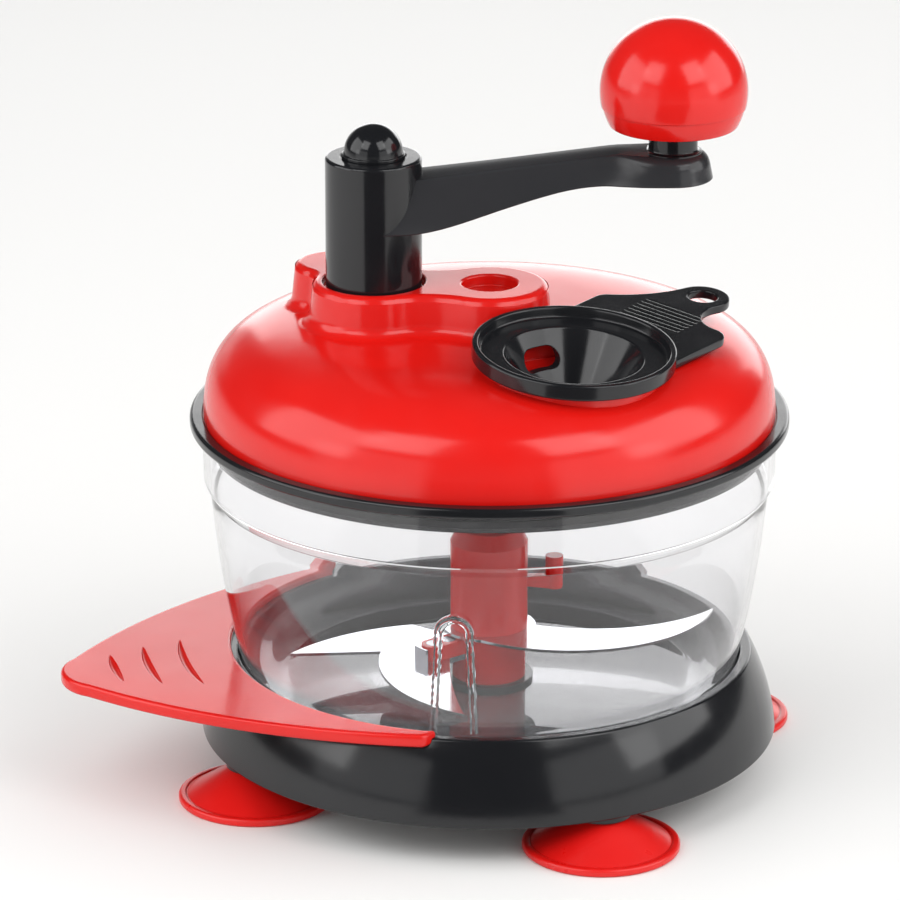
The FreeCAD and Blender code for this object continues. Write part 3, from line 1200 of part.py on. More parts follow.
def knob_base():
    """The lower part of the ball knob, with the tube that turns on the pin."""
    outer = knob_form(KNOB_R - KNOB_SEAM_STEP, KNOB_BOTTOM_Z, KNOB_SEAM_Z)
    bottom = [e for e in outer.Edges if e.BoundBox.ZMax < KNOB_BOTTOM_Z + 0.01]
    outer = outer.makeFillet(1.2, bottom)
    room = disc(KNOB_R - KNOB_SEAM_STEP - 2 * KNOB_WALL - 2.0, KNOB_BOTTOM_Z + KNOB_WALL,
                KNOB_SEAM_Z + COVER)
    stem = disc(KNOB_TUBE_R, KNOB_BOTTOM_Z, KNOB_TUBE_TOP_Z)
    bore = disc(KNOB_PIN_R + RUN_GAP, KNOB_BOTTOM_Z - COVER, KNOB_TUBE_TOP_Z + COVER)
    c = knob_centre()
    return moved(fused([outer.cut(room), stem]).cut(bore), c.x, c.y)


def knob_pin():
    """The steel pin that the knob turns on, headed at both ends."""
    c = knob_centre()
    head_low = KNOB_TUBE_TOP_Z + SEAT_GAP
    shank = disc(KNOB_PIN_R, KNOB_PIN_FOOT_Z, head_low + KNOB_PIN_HEAD)
    head = disc(KNOB_PIN_HEAD_R, head_low, head_low + KNOB_PIN_HEAD)
    foot = disc(KNOB_PIN_HEAD_R, KNOB_PIN_FOOT_Z, KNOB_PIN_FOOT_Z + KNOB_PIN_HEAD - FIT_GAP)
    return moved(fused([shank, head, foot]), c.x, c.y)


def knob_washer():
    """The washer between the knob and its neck."""
    c = knob_centre()
    return moved(tube(KNOB_WASHER_R, KNOB_PIN_R + RUN_GAP, NECK_TOP_Z, KNOB_BOTTOM_Z), c.x, c.y)


# ---------------------------------------------------------------- egg separator
def tab_outline():
    """The hang tab: straight sides, round shoulders, a waist and a round eye."""
    eye = Vector(TAB_EYE_AT, 0, 0)
    shoulder = Vector(TAB_SHOULDER, TAB_HALF_WIDTH - TAB_SHOULDER_ROUND, 0)
    neck = waist(shoulder, TAB_SHOULDER_ROUND, eye, TAB_EYE_R, TAB_WAIST_R, True)

    def flip(point):
        return Vector(point.x, -point.y, 0)

    side = Vector(TAB_SHOULDER, TAB_HALF_WIDTH, 0)
    root = Vector(TAB_SHOULDER / 3, TAB_HALF_WIDTH, 0)
    turn_in = touch(shoulder, TAB_SHOULDER_ROUND, neck)
    turn_out = touch(eye, TAB_EYE_R, neck)
    bend = touch(shoulder, TAB_SHOULDER_ROUND, Vector(TAB_EYE_AT, 2 * TAB_HALF_WIDTH, 0))
    end = Vector(TAB_EYE_AT + TAB_EYE_R, 0, 0)
    pinch = touch(neck, TAB_WAIST_R, Vector(TAB_SHOULDER, 0, 0))
    edges = [Part.LineSegment(root, side).toShape(), Part.Arc(side, bend, turn_in).toShape(),
             Part.Arc(turn_in, pinch, turn_out).toShape(),
             Part.Arc(turn_out, end, flip(turn_out)).toShape(),
             Part.Arc(flip(turn_out), flip(pinch), flip(turn_in)).toShape(),
             Part.Arc(flip(turn_in), flip(bend), flip(side)).toShape(),
             Part.LineSegment(flip(side), flip(root)).toShape(),
             Part.LineSegment(flip(root), root).toShape()]
    return Part.Wire(edges)


def egg_separator():
    """Dish, yolk cup with drain slots, and hang tab, modelled about the port's axis."""
    mouth_out = CUP_MOUTH_R + CUP_WALL
    floor_out = CUP_FLOOR_R + CUP_WALL
    rim_in = DISH_R - DISH_WALL
    body = turned([(0, -CUP_DEPTH), (floor_out, -CUP_DEPTH), (mouth_out, 0.05),
                   (DISH_R, 0.05), (DISH_R, DISH_HEIGHT), (rim_in, DISH_HEIGHT),
                   (rim_in - 0.8, DISH_FLOOR), (CUP_MOUTH_R + 0.6, DISH_FLOOR),
                   (CUP_MOUTH_R, DISH_FLOOR - 1.0), (CUP_FLOOR_R, CUP_WALL - CUP_DEPTH),
                   (0, CUP_WALL - CUP_DEPTH)])
    tab = Part.Face(tab_outline()).extrude(Vector(0, 0, TAB_THICK))
    tab = tab.cut(disc(TAB_EYE_HOLE_R, -COVER, TAB_THICK + COVER, TAB_EYE_AT, 0))
    for i in range(TAB_GROOVE_COUNT):
        at = TAB_GROOVE_FIRST + TAB_GROOVE_PITCH * i
        tab = tab.cut(Part.makeBox(TAB_GROOVE_WIDTH, 2 * TAB_GROOVE_HALF_LENGTH, COVER,
                                   Vector(at - TAB_GROOVE_WIDTH / 2, -TAB_GROOVE_HALF_LENGTH,
                                          TAB_THICK - TAB_GROOVE_DEPTH)))
    tab = tab.cut(disc(rim_in, -COVER, DISH_HEIGHT + COVER))
    tab.translate(Vector(0, 0, TAB_TOP - TAB_THICK))
    body = fused([body, moved(tab, turn=TAB_ANGLE)])
    for i in range(DRAIN_SLOT_COUNT):
        slot = Part.makeBox(CUP_MOUTH_R, DRAIN_SLOT_WIDTH, DRAIN_SLOT_HEIGHT,
                            Vector(CUP_FLOOR_R / 2, -DRAIN_SLOT_WIDTH / 2,
                                   -DRAIN_SLOT_DROP - DRAIN_SLOT_HEIGHT / 2))
        ends = [e for e in slot.Edges if abs(e.BoundBox.XLength - CUP_MOUTH_R) < 0.01]
        slot = slot.makeFillet(DRAIN_SLOT_HEIGHT / 2 - 0.1, ends)
        body = body.cut(moved(slot, turn=DRAIN_SLOT_ANGLE + 360.0 * i / DRAIN_SLOT_COUNT))
    return port_frame(body)


# ---------------------------------------------------------------- all pieces
def all_parts():
    """Every piece by the name of its node."""
    parts = {
        "base_shell": base_shell(),
        "base_bottom_plate": base_bottom_plate(),
        "base_plate_screws": plate_screws(),
        "stay_handle": stay_handle(),
        "stay_handle_screws": stay_handle_screws(),
        "bowl": bowl(),
        "bowl_spindle_pin": bowl_pin(),
        "thrust_washer": thrust_washer(),
        "blade_column": blade_column(),
        "column_sleeve": column_sleeve(),
        "column_bush": column_bush(),
        "upper_blade": upper_blade(),
        "lower_blade_left": lower_blade_left(),
        "lower_blade_front": lower_blade_front(),
        "blade_rivets": blade_rivets(),
        "lid_shell": lid_shell(),
        "lid_inner_plate": lid_inner_plate(),
        "lid_seal": lid_seal(),
        "lid_screws": lid_screws(),
        "crank_bush": crank_bush(),
        "spindle_top_bush": spindle_top_bush(),
        "spindle_bottom_bush": spindle_bottom_bush(),
        "drive_spindle": drive_spindle(),
        "pinion": pinion(),
        "pinion_clip": pinion_clip(),
        "crank_arm": crank_arm(),
        "crank_shaft": crank_shaft(),
        "crank_gear": crank_gear(),
        "gear_washer": gear_washer(),
        "gear_screw": gear_screw(),
        "hub_screw": hub_screw(),
        "hub_cap": hub_cap(),
        "knob_pin": knob_pin(),
        "knob_washer": knob_washer(),
        "knob_shell": knob_shell(),
        "knob_base": knob_base(),
        "egg_separator": egg_separator(),
    }
    parts.update(suction_cups())
    return parts


def write_parts():
    """Move every piece to the footprint's frame and write one STEP file for each."""
    os.makedirs("parts", exist_ok=True)
    for name, shape in all_parts().items():
        placed = moved(shape, BOWL_AXIS_X)
        placed.exportStep("parts/%s.step" % name)
        print("%-22s solids %d  valid %s  volume %.1f" % (
            name, len(placed.Solids), placed.isValid(), placed.Volume))


write_parts()
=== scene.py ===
import json
from math import acos, asin, atan2, ceil, cos, degrees, hypot, pi, radians, sin, sqrt, tan

import bmesh
import bpy
from mathutils import Matrix, Vector
from mathutils.geometry import delaunay_2d_cdt


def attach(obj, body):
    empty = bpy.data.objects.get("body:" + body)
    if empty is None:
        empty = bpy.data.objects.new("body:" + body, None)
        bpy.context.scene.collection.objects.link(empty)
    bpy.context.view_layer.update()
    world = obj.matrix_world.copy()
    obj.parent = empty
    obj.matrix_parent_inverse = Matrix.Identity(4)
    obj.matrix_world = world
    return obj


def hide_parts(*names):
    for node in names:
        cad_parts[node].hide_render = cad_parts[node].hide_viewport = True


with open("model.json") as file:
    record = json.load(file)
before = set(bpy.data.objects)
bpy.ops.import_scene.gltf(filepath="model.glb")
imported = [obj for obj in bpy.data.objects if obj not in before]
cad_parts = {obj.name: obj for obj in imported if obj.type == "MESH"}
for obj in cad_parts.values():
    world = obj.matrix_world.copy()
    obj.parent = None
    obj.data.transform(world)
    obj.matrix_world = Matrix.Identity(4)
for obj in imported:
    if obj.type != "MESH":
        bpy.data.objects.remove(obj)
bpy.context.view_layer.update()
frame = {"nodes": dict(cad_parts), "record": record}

# Sizes are millimetres about the bowl's axis, which stands AXIS_X from the footprint's centre.
MM = 0.001
AXIS_X = 19.5
ON_AXIS = 1e-6                # a smaller radius is a single point
SUPPORT = 0.12                # a second loop this far from each rounded corner keeps flats flat
ARC_STEP = 12.0               # degrees between points on a rounded corner
WIDE = 320                    # steps round the bowl, base and dome
SMALL = 96                    # steps round knobs, bushes and cups

# base
BASE_BOTTOM_Z = 14.0
BASE_TOP_Z = 41.6
BASE_BOTTOM_R = 97.2
BASE_TOP_R = 88.5
BASE_MIDDLE = (94.35, 27.8)
SEAT_R = 84.9
SEAT_Z = 27.0
WALL = 2.5
NOTCH_ANGLE = 251.0
NOTCH_HALF = 0.4
NOTCH_DEPTH = 0.8

# suction cups
CUP_PITCH_R = 86.0
CUP_FIRST_ANGLE = 25.0
CUP_R = 26.0
CUP_TOP_Z = 12.0
CUP_WALL = 1.8
CUP_KNEE = 0.60               # share of radius and height where the cup bends
CUP_CROWN_R = 8.0
CUP_BEAD_Z = 2.7
STEM_R = 4.0
STEM_BARB_R = 5.4
STEM_BARB_Z = 14.54
STEM_TOP_Z = 18.5

# side handle
HANDLE_TOP_Z = 44.0
HANDLE_THICK = 4.4
HANDLE_ANGLE = 193.6
HANDLE_REACH = 146.5
HANDLE_INNER_R = 87.2
HANDLE_SHOULDER = (140.0, 13.5)
HANDLE_SIDE = (109.1, 31.5)   # radius and angle on the leaf's side
HANDLE_HORN = (92.6, 63.0)    # radius and angle of the horn's corner
HANDLE_INNER_ANGLE = 64.5
HANDLE_CORNER_ROUND = 3.0
HANDLE_EDGE_ROUND = 1.2
HANDLE_SEAT = ((0.0, 38.0), (90.6, 38.0), (89.7, 39.5), (88.8, 41.7), (0.0, 41.7))
HANDLE_GROOVES = ((18.0, 12.5), (29.5, 17.5), (42.0, 21.0))   # from the tip, half length
HANDLE_GROOVE_HALF = 1.45
HANDLE_GROOVE_DEPTH = 1.7
HANDLE_GROOVE_RISE = 0.5

# bowl
RIM = (95.9, 121.42)
LEDGE_TOP = (95.6, 103.5)
LEDGE = (93.5, 100.0)
MIDDLE = (90.3, 72.0)
FOOT = (84.4, 41.6)
FLAT_R = 70.0
BOWL_WALL = 2.3
FLOOR_Z = 30.0
BOWL_BOTTOM_Z = 27.06
RECESS_Z = 27.5
RECESS_R = 64.0
BOSS_R = 6.0
BOSS_Z = 34.0
PIN_BORE_R = 3.05
PIN_FOOT_Z = 28.4
RIB_FINE = 7.0                # degrees each side of the rib with finer steps
RIB_X = -11.9
RIB_HALF = 7.6
RIB_TOP_HALF = 6.0
RIB_BOTTOM_Z = 42.6
RIB_TOP_Z = 85.5
RIB_BAND = 2.0
RIB_PROUD = 1.2

# lid
RING_R = 100.0
RING_Z = 121.5
RING_TOP_Z = 125.2
SKIRT_R = 92.4
SKIRT_Z = 114.6
DOME_R = 95.4
DOME_Z = 124.6
DOME_HEIGHT = 31.1
SIDE_POWER = 0.28
RISE_POWER = 0.79
DOME_EDGE = 0.93              # share of the radius where the steep side begins
TOWER_Z = 169.3
TOWER_DRAFT = radians(6.0)
TOWER_ROUND = 2.5
SOFT_EDGE_START = TOWER_ROUND * (sin(TOWER_DRAFT) - 1) / cos(TOWER_DRAFT)
FOOT_ROUND = 4.5
CAP_SPACING = 2.6             # grid of points over the dome's top
ROW_SHARE = 0.866             # row height of a grid of even triangles
PLATE_TOP_Z = 124.0
SKIRT_INNER_R = 90.0
RING_INNER_R = 95.75
SEAT_INNER_R = 89.2
GEARBOX_TUBE_R = 9.7
GEARBOX_TUBE_Z = 136.5
SPINDLE_BORE_R = 7.54
HUB = Vector((-38.4, 3.0))
HUB_LOBE_R = 20.3
AXIS = Vector((0.0, 0.0))
AXIS_LOBE_R = 19.4
LUG = Vector((-52.0, 24.2))
LUG_LOBE_R = 13.0
FRONT_WAIST_R = 28.0
BACK_WAIST_R = 25.0
NOTCH_WAIST_R = 8.0
HUB_RECESS_R = 17.2
HUB_RECESS_DEPTH = 2.0
AXIS_HOLE_R = 9.2
AXIS_HOLE_DEPTH = 4.0

# feed port and egg separator
PORT = Vector((26.9, -46.1, 157.4))
PORT_TILT = radians(6.1)
COLLAR_R = 30.0
BORE_R = 25.0
DOME_HOLE_R = 27.6
TAB_ANGLE = 52.0
TAB_ROOT = 17.0
TAB_TOP = 1.2
TAB_THICK = 3.0
TAB_HALF = 25.8
TAB_SHOULDER = 46.0
TAB_SHOULDER_ROUND = 6.0
TAB_EYE_AT = 71.5
TAB_EYE_R = 9.0
TAB_HOLE_R = 5.0
TAB_WAIST_R = 12.0
TAB_FAR_WAIST_R = 45.0
TAB_ROUND = 0.5
TAB_GROOVES = 7
TAB_FIRST_GROOVE = 41.5
TAB_GROOVE_PITCH = 2.5
TAB_GROOVE_LENGTH = 24.0
TAB_GROOVE_HALF = 0.55
TAB_GROOVE_SINK = 0.25
TRIM_R = 32.3                 # the tab ends inside the dish's rim
DRAIN_ANGLES = (126.0, 306.0)
DRAIN_LENGTH = 14.0
DRAIN_HALF = 3.4
DRAIN_Z = -6.3

# crank
HUB_R = 16.0
HUB_BOTTOM_Z = 167.6
HUB_TOP_Z = 212.0
HUB_WELL_R = 10.9
CAP_R = 9.8
CAP_LIP_R = 10.5
ARM_LENGTH = 98.7
ARM_ANGLE = 0.5
ARM_CROWN = 0.45              # how far the top's edges lie below its middle
ARM_ROOT_LOW_Z = 189.0
ARM_ROOT_TOP_Z = 204.4
ARM_END_TOP_Z = 214.6
ARM_ROOT_HALF = 15.8
ARM_NARROW_HALF = 9.5
ARM_END_HALF = 12.6
ARM_TOP_HALVES = (8.0, 6.8)
ARM_TOP_ROUNDS = (0.9, 3.8)
ARM_SKIN = 2.4
PAD_BOTTOM_R = 13.3
PAD_TOP_R = 11.6
PAD_TOP_Z = 214.0
PAD_BOTTOM_Z = 204.5
NECK_R = 8.1
NECK_TOP_Z = 221.7
KNOB_R = 24.4
KNOB_Z = 234.1
KNOB_BOTTOM_Z = 222.5
KNOB_SEAM_Z = 228.8
KNOB_WALL = 2.5
KNOB_BORE_R = 3.1
KNOB_TUBE_R = 6.5
KNOB_TUBE_Z = 237.4


# ---------------------------------------------------------------- outlines and profiles
def rounded(corners, loop):
    """A profile through (r, z) corners, with an arc where a third number gives a radius."""
    out = []
    count = len(corners)
    for i, corner in enumerate(corners):
        here = Vector(corner[:2])
        inner = loop or 0 < i < count - 1
        if len(corner) < 3 or not inner:
            out.append(tuple(here))
            continue
        back = Vector(corners[i - 1][:2]) - here
        ahead = Vector(corners[(i + 1) % count][:2]) - here
        half = back.angle(ahead) / 2
        reach = min(corner[2] / tan(half), back.length * 0.48, ahead.length * 0.48)
        radius = reach * tan(half)
        back.normalize()
        ahead.normalize()
        centre = here + (back + ahead).normalized() * radius / sin(half)
        first = here + back * reach - centre
        last = here + ahead * reach - centre
        start = atan2(first.y, first.x)
        turn = atan2(last.y, last.x) - start
        turn = (turn + pi) % (2 * pi) - pi
        steps = max(3, ceil(abs(degrees(turn)) / ARC_STEP))
        out.append(tuple(here + back * (reach + SUPPORT)))
        for k in range(steps + 1):
            a = start + turn * k / steps
            out.append((centre.x + radius * cos(a), centre.y + radius * sin(a)))
        out.append(tuple(here + ahead * (reach + SUPPORT)))
    return out


def arc3(a, b, c, steps):
    """Points on the arc from a to c through b."""
    (ax, ay), (bx, by), (cx, cy) = a, b, c
    d = 2 * (ax * (by - cy) + bx * (cy - ay) + cx * (ay - by))
    ux = ((ax * ax + ay * ay) * (by - cy) + (bx * bx + by * by) * (cy - ay)
          + (cx * cx + cy * cy) * (ay - by)) / d
    uy = ((ax * ax + ay * ay) * (cx - bx) + (bx * bx + by * by) * (ax - cx)
          + (cx * cx + cy * cy) * (bx - ax)) / d
    radius = hypot(ax - ux, ay - uy)
    start = atan2(ay - uy, ax - ux)
    middle = (atan2(by - uy, bx - ux) - start) % (2 * pi)
    end = (atan2(cy - uy, cx - ux) - start) % (2 * pi)
    if middle > end:
        end -= 2 * pi
    return [(ux + radius * cos(start + end * k / steps),
             uy + radius * sin(start + end * k / steps)) for k in range(steps + 1)]


def circle(centre, radius, steps):
    """A counter-clockwise ring of plan points."""
    return [(centre[0] + radius * cos(2 * pi * i / steps),
             centre[1] + radius * sin(2 * pi * i / steps)) for i in range(steps)]


def ease(t):
    """A smooth step from 0 to 1."""
    t = min(max(t, 0.0), 1.0)
    return t * t * (3 - 2 * t)


def mix(a, b, share):
    """The value a given share of the way from a to b."""
    return a + (b - a) * share


# ---------------------------------------------------------------- mesh helpers
def band(a, b):
    """Quads between two closed rings of point numbers."""
    count = len(a)
    return [(a[i], a[i + 1 - count], b[i + 1 - count], b[i]) for i in range(count)]


def spin(profile, loop, steps, centre=(0.0, 0.0)):
    """Points and faces of a turned surface; loop joins the profile's ends."""
    points, rings, faces = [], [], []
    for r, z in profile:
        if r < ON_AXIS:
            rings.append([len(points)])
            points.append((centre[0], centre[1], z))
        else:
            rings.append(range(len(points), len(points) + steps))
            points += [(x, y, z) for x, y in circle(centre, r, steps)]
    pairs = list(zip(rings, rings[1:]))
    if loop:
        pairs.append((rings[-1], rings[0]))
    for a, b in pairs:
        if len(a) > 1 and len(b) > 1:
            faces += band(a, b)
        elif len(b) > 1:
            faces += [(a[0], b[i + 1 - steps], b[i]) for i in range(steps)]
        elif len(a) > 1:
            faces += [(a[i], a[i + 1 - steps], b[0]) for i in range(steps)]
    return points, faces


def spin_uneven(profile, angles, shape):
    """A turned surface at given angles; shape gives a row's (r, z) at an angle."""
    points, faces = spin(profile, False, len(angles))
    start = 0
    for row, (r, _) in enumerate(profile):
        if r < ON_AXIS:
            start += 1
            continue
        for i, angle in enumerate(angles):
            out, z = shape(row, angle)
            turn = radians(angle)
            points[start + i] = (out * cos(turn), out * sin(turn), z)
        start += len(angles)
    return points, faces


def joined(*parts):
    """Several (points, faces) pairs as one."""
    points, faces = [], []
    for part_points, part_faces in parts:
        start = len(points)
        points += part_points
        faces += [tuple(start + i for i in face) for face in part_faces]
    return points, faces


def port_frame(points):
    """Points about the port's own axis, tilted outwards and set on the dome."""
    away = atan2(PORT.y, PORT.x)
    turn = (Matrix.Translation(PORT) @ Matrix.Rotation(away, 4, "Z")
            @ Matrix.Rotation(PORT_TILT, 4, "Y") @ Matrix.Rotation(-away, 4, "Z"))
    return [tuple(turn @ Vector(p)) for p in points]


def crank_frame(points):
    """Points along the arm from the hub's axis, set in place."""
    turn = Matrix.Translation((HUB.x, HUB.y, 0)) @ Matrix.Rotation(radians(ARM_ANGLE), 4, "Z")
    return [tuple(turn @ Vector(p)) for p in points]


def placed(name, data):
    """A new object in the scene."""
    obj = bpy.data.objects.new(name, data)
    bpy.context.scene.collection.objects.link(obj)
    return obj


def mesh_object(name, points, faces, recalculate=True):
    """A mesh object from millimetre points."""
    mesh = bpy.data.meshes.new(name)
    mesh.from_pydata([((x + AXIS_X) * MM, y * MM, z * MM) for x, y, z in points], [], faces)
    if recalculate:
        edit = bmesh.new()
        edit.from_mesh(mesh)
        bmesh.ops.recalc_face_normals(edit, faces=edit.faces)
        edit.to_mesh(mesh)
        edit.free()
    return placed(name, mesh)


def smooth(obj, angle=32.0):
    """Smooth shading that stays sharp at edges steeper than the angle."""
    obj.data.shade_smooth()
    obj.data.set_sharp_from_angle(angle=radians(angle))
    return obj


def boolean(obj, other, operation):
    """obj joined with or cut by the other object, which goes."""
    change = obj.modifiers.new("cut", "BOOLEAN")
    change.operation = operation
    change.solver = "EXACT"
    change.object = other
    done = bpy.data.meshes.new_from_object(
        obj.evaluated_get(bpy.context.evaluated_depsgraph_get()))
    obj.modifiers.clear()
    obj.data = done
    bpy.data.objects.remove(other)
    return obj


def carve(obj, points, faces):
    """Cuts the solid that the points and faces bound out of the object."""
    return boolean(obj, mesh_object("cut", points, faces), "DIFFERENCE")


def finish_piece(obj, body, slot, *nodes, finish=None):
    """Material, body and the nodes that a piece stands for."""
    obj.data.materials.clear()
    obj.data.materials.append(FINISH[finish or slot])
    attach(obj, body)
    if nodes:
        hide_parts(*nodes)
    return obj


def turned_piece(name, profile, body, slot, *nodes, loop=True, steps=SMALL, centre=(0.0, 0.0)):
    """A turned piece with smooth shading, ready to show."""
    obj = smooth(mesh_object(name, *spin(profile, loop, steps, centre)))
    return finish_piece(obj, body, slot, *nodes)


# ---------------------------------------------------------------- materials
FLOW_MARKS = (26, 4)          # noise scale and detail
GLOSS_PATCHES = (75, 5)
ORANGE_PEEL = (420, 2)
METAL_PATCHES = (60, 3)
CLEAR_TINT_PATCHES = (14, 2)
CLEAR_GLOSS_PATCHES = (40, 3)
CLEAR_WAVES = (55, 1)
METAL_EDGE = 0.15
BEVEL_SAMPLES = 6
CLEAR_IOR = 1.49
CLEAR_TINT = (0.958, 0.959, 0.970)
CLEAR_DEEP = (0.948, 0.949, 0.962)
CLEAR_SHADOW = (0.97, 0.97, 0.98, 1)
HAZE = 0.05                   # the bowl's moulded foot is faintly milky
HAZE_FROM = (0.0305, 0.036)   # metres up over which the haze comes and goes
HAZE_TO = (0.040, 0.066)


def feed(tree, socket, value):
    """Sets an input to a plain value, or links it to another node's output."""
    if isinstance(value, bpy.types.NodeSocket):
        tree.links.new(value, socket)
    else:
        socket.default_value = value


def feed_all(tree, target, **values):
    """Feeds the inputs of a node by name."""
    for key, value in values.items():
        feed(tree, target.inputs[key.replace("_", " ")], value)


def node(tree, kind, attributes=(), **values):
    """A new shader node with its attributes and inputs."""
    made = tree.nodes.new(kind)
    for key, value in attributes:
        setattr(made, key, value)
    feed_all(tree, made, **values)
    return made


def by_position(made, tree, values):
    """Feeds a node's inputs in their order and gives its first output."""
    for socket, value in zip(made.inputs, values):
        feed(tree, socket, value)
    return made.outputs[0]


def calculate(tree, operation, *values):
    """The result of a sum in a shader tree."""
    made = node(tree, "ShaderNodeMath", [("operation", operation)])
    return by_position(made, tree, values)


def mixed_shaders(tree, share, one, two):
    """Two shaders mixed by the share."""
    return by_position(node(tree, "ShaderNodeMixShader"), tree, (share, one, two))


def noise(tree, scale, detail, stretch=None):
    """Noise in the object's own coordinates; stretch scales each axis."""
    where = node(tree, "ShaderNodeTexCoord").outputs["Object"]
    if stretch:
        where = node(tree, "ShaderNodeMapping", Vector=where, Scale=stretch).outputs["Vector"]
    made = node(tree, "ShaderNodeTexNoise", Vector=where, Scale=scale, Detail=detail)
    return made.outputs["Fac"]


def ramp(tree, source, low, high, start=0.3, end=0.7):
    """The source mapped to a range of numbers."""
    return node(tree, "ShaderNodeMapRange", Value=source, From_Min=start, From_Max=end,
                To_Min=low, To_Max=high).outputs["Result"]


def blend_colours(tree, source, one, two):
    """Two colours mixed by the source."""
    made = node(tree, "ShaderNodeMix", [("data_type", "RGBA")])
    colours = [s for s in made.inputs if s.type == "RGBA"]
    colours[0].default_value = (*one, 1)
    colours[1].default_value = (*two, 1)
    tree.links.new(source, made.inputs[0])
    return next(s for s in made.outputs if s.type == "RGBA")


def shader(name):
    """A new material and its Principled shader."""
    material = bpy.data.materials.new(name)
    material.use_nodes = True
    return material, material.node_tree, material.node_tree.nodes["Principled BSDF"]


def surface(tree, height, strength, depth, edge):
    """Normals of a bumpy surface with eased edges."""
    eased = node(tree, "ShaderNodeBevel", [("samples", BEVEL_SAMPLES)], Radius=edge * MM)
    return node(tree, "ShaderNodeBump", Strength=strength, Distance=depth, Height=height,
                Normal=eased.outputs["Normal"]).outputs["Normal"]


def moulded(name, colour, deep, rough, swing, peel, edge, ior=1.5):
    """Moulded plastic or rubber: faint flow marks, uneven gloss, orange peel, eased edges."""
    material, tree, face = shader(name)
    flow = ramp(tree, noise(tree, *FLOW_MARKS), 0, 1)
    gloss = ramp(tree, noise(tree, *GLOSS_PATCHES), rough - swing, rough + swing)
    feed_all(tree, face, Base_Color=blend_colours(tree, flow, colour, deep), Roughness=gloss,
             IOR=ior, Normal=surface(tree, noise(tree, *ORANGE_PEEL), peel, 0.0002, edge))
    return material


def metal(name, colour, dull, rough, swing, stretch, lines):
    """Metal with fine lines along one way and uneven polish."""
    material, tree, face = shader(name)
    polish = ramp(tree, noise(tree, *METAL_PATCHES), 0, 1)
    grain = noise(tree, 1, 3, stretch)
    feed_all(tree, face, Metallic=1.0, Base_Color=blend_colours(tree, polish, colour, dull),
             Roughness=ramp(tree, grain, rough - swing, rough + swing),
             Normal=surface(tree, grain, lines, 0.00004, METAL_EDGE))
    return material


def clear(name):
    """Clear moulded plastic with faint unevenness, which lets lamps through."""
    material, tree, face = shader(name)
    tint = ramp(tree, noise(tree, *CLEAR_TINT_PATCHES), 0, 1)
    place = node(tree, "ShaderNodeTexCoord").outputs["Object"]
    height = node(tree, "ShaderNodeSeparateXYZ", Vector=place).outputs["Z"]
    milky = calculate(tree, "MULTIPLY", ramp(tree, height, 0.0, 1.0, *HAZE_FROM),
                      ramp(tree, height, HAZE, 0.0, *HAZE_TO))
    wavy = node(tree, "ShaderNodeBump", Strength=0.012, Distance=0.0004,
                Height=noise(tree, *CLEAR_WAVES))
    feed_all(tree, face, IOR=CLEAR_IOR,
             Base_Color=blend_colours(tree, tint, CLEAR_TINT, CLEAR_DEEP),
             Transmission_Weight=calculate(tree, "SUBTRACT", 1.0, milky),
             Roughness=ramp(tree, noise(tree, *CLEAR_GLOSS_PATCHES), 0.0, 0.014),
             Normal=wavy.outputs["Normal"])
    through = node(tree, "ShaderNodeBsdfTransparent", Color=CLEAR_SHADOW).outputs["BSDF"]
    shadow = node(tree, "ShaderNodeLightPath").outputs["Is Shadow Ray"]
    out = next(n for n in tree.nodes if n.type == "OUTPUT_MATERIAL")
    feed_all(tree, out, Surface=mixed_shaders(tree, shadow, face.outputs["BSDF"], through))
    return material


# colour, deeper colour, roughness, its swing, orange peel, eased edge
MOULDED = {
    "red_plastic": ((0.64, 0.009, 0.006), (0.59, 0.006, 0.004), 0.19, 0.03, 0.05, 0.35),
    "black_plastic": ((0.0098, 0.0102, 0.0117), (0.0072, 0.0076, 0.009), 0.15, 0.03, 0.04, 0.4),
    # satin black for the arm: a lighter copy of the black plastic, its colour painted lighter to
    # stand in for light on the arm's sides
    "satin_black_painted_lighter": ((0.028, 0.0285, 0.031), (0.023, 0.0235, 0.026), 0.21, 0.04, 0.08, 0.4, 1.42),
    "red_rubber": ((0.69, 0.009, 0.007), (0.63, 0.006, 0.005), 0.30, 0.03, 0.04, 0.3),
    "black_rubber": ((0.012, 0.012, 0.013), (0.008, 0.008, 0.009), 0.5, 0.08, 0.15, 0.2),
    "white_nylon": ((0.78, 0.77, 0.73), (0.72, 0.71, 0.67), 0.38, 0.06, 0.10, 0.2),
}
# colour, dull colour, roughness, its swing, stretch of the lines, their strength
METALS = {
    "polished_steel": ((0.71, 0.71, 0.73), (0.63, 0.63, 0.66), 0.13, 0.05, (900, 60, 60), 0.12),
    "steel": ((0.60, 0.60, 0.62), (0.50, 0.50, 0.52), 0.28, 0.08, (60, 60, 700), 0.2),
    "brass": ((0.78, 0.55, 0.25), (0.66, 0.45, 0.20), 0.25, 0.08, (60, 60, 500), 0.15),
}
FINISH = {"clear_plastic": clear("clear_plastic")}
FINISH.update((name, moulded(name, *look)) for name, look in MOULDED.items())
FINISH.update((name, metal(name, *look)) for name, look in METALS.items())


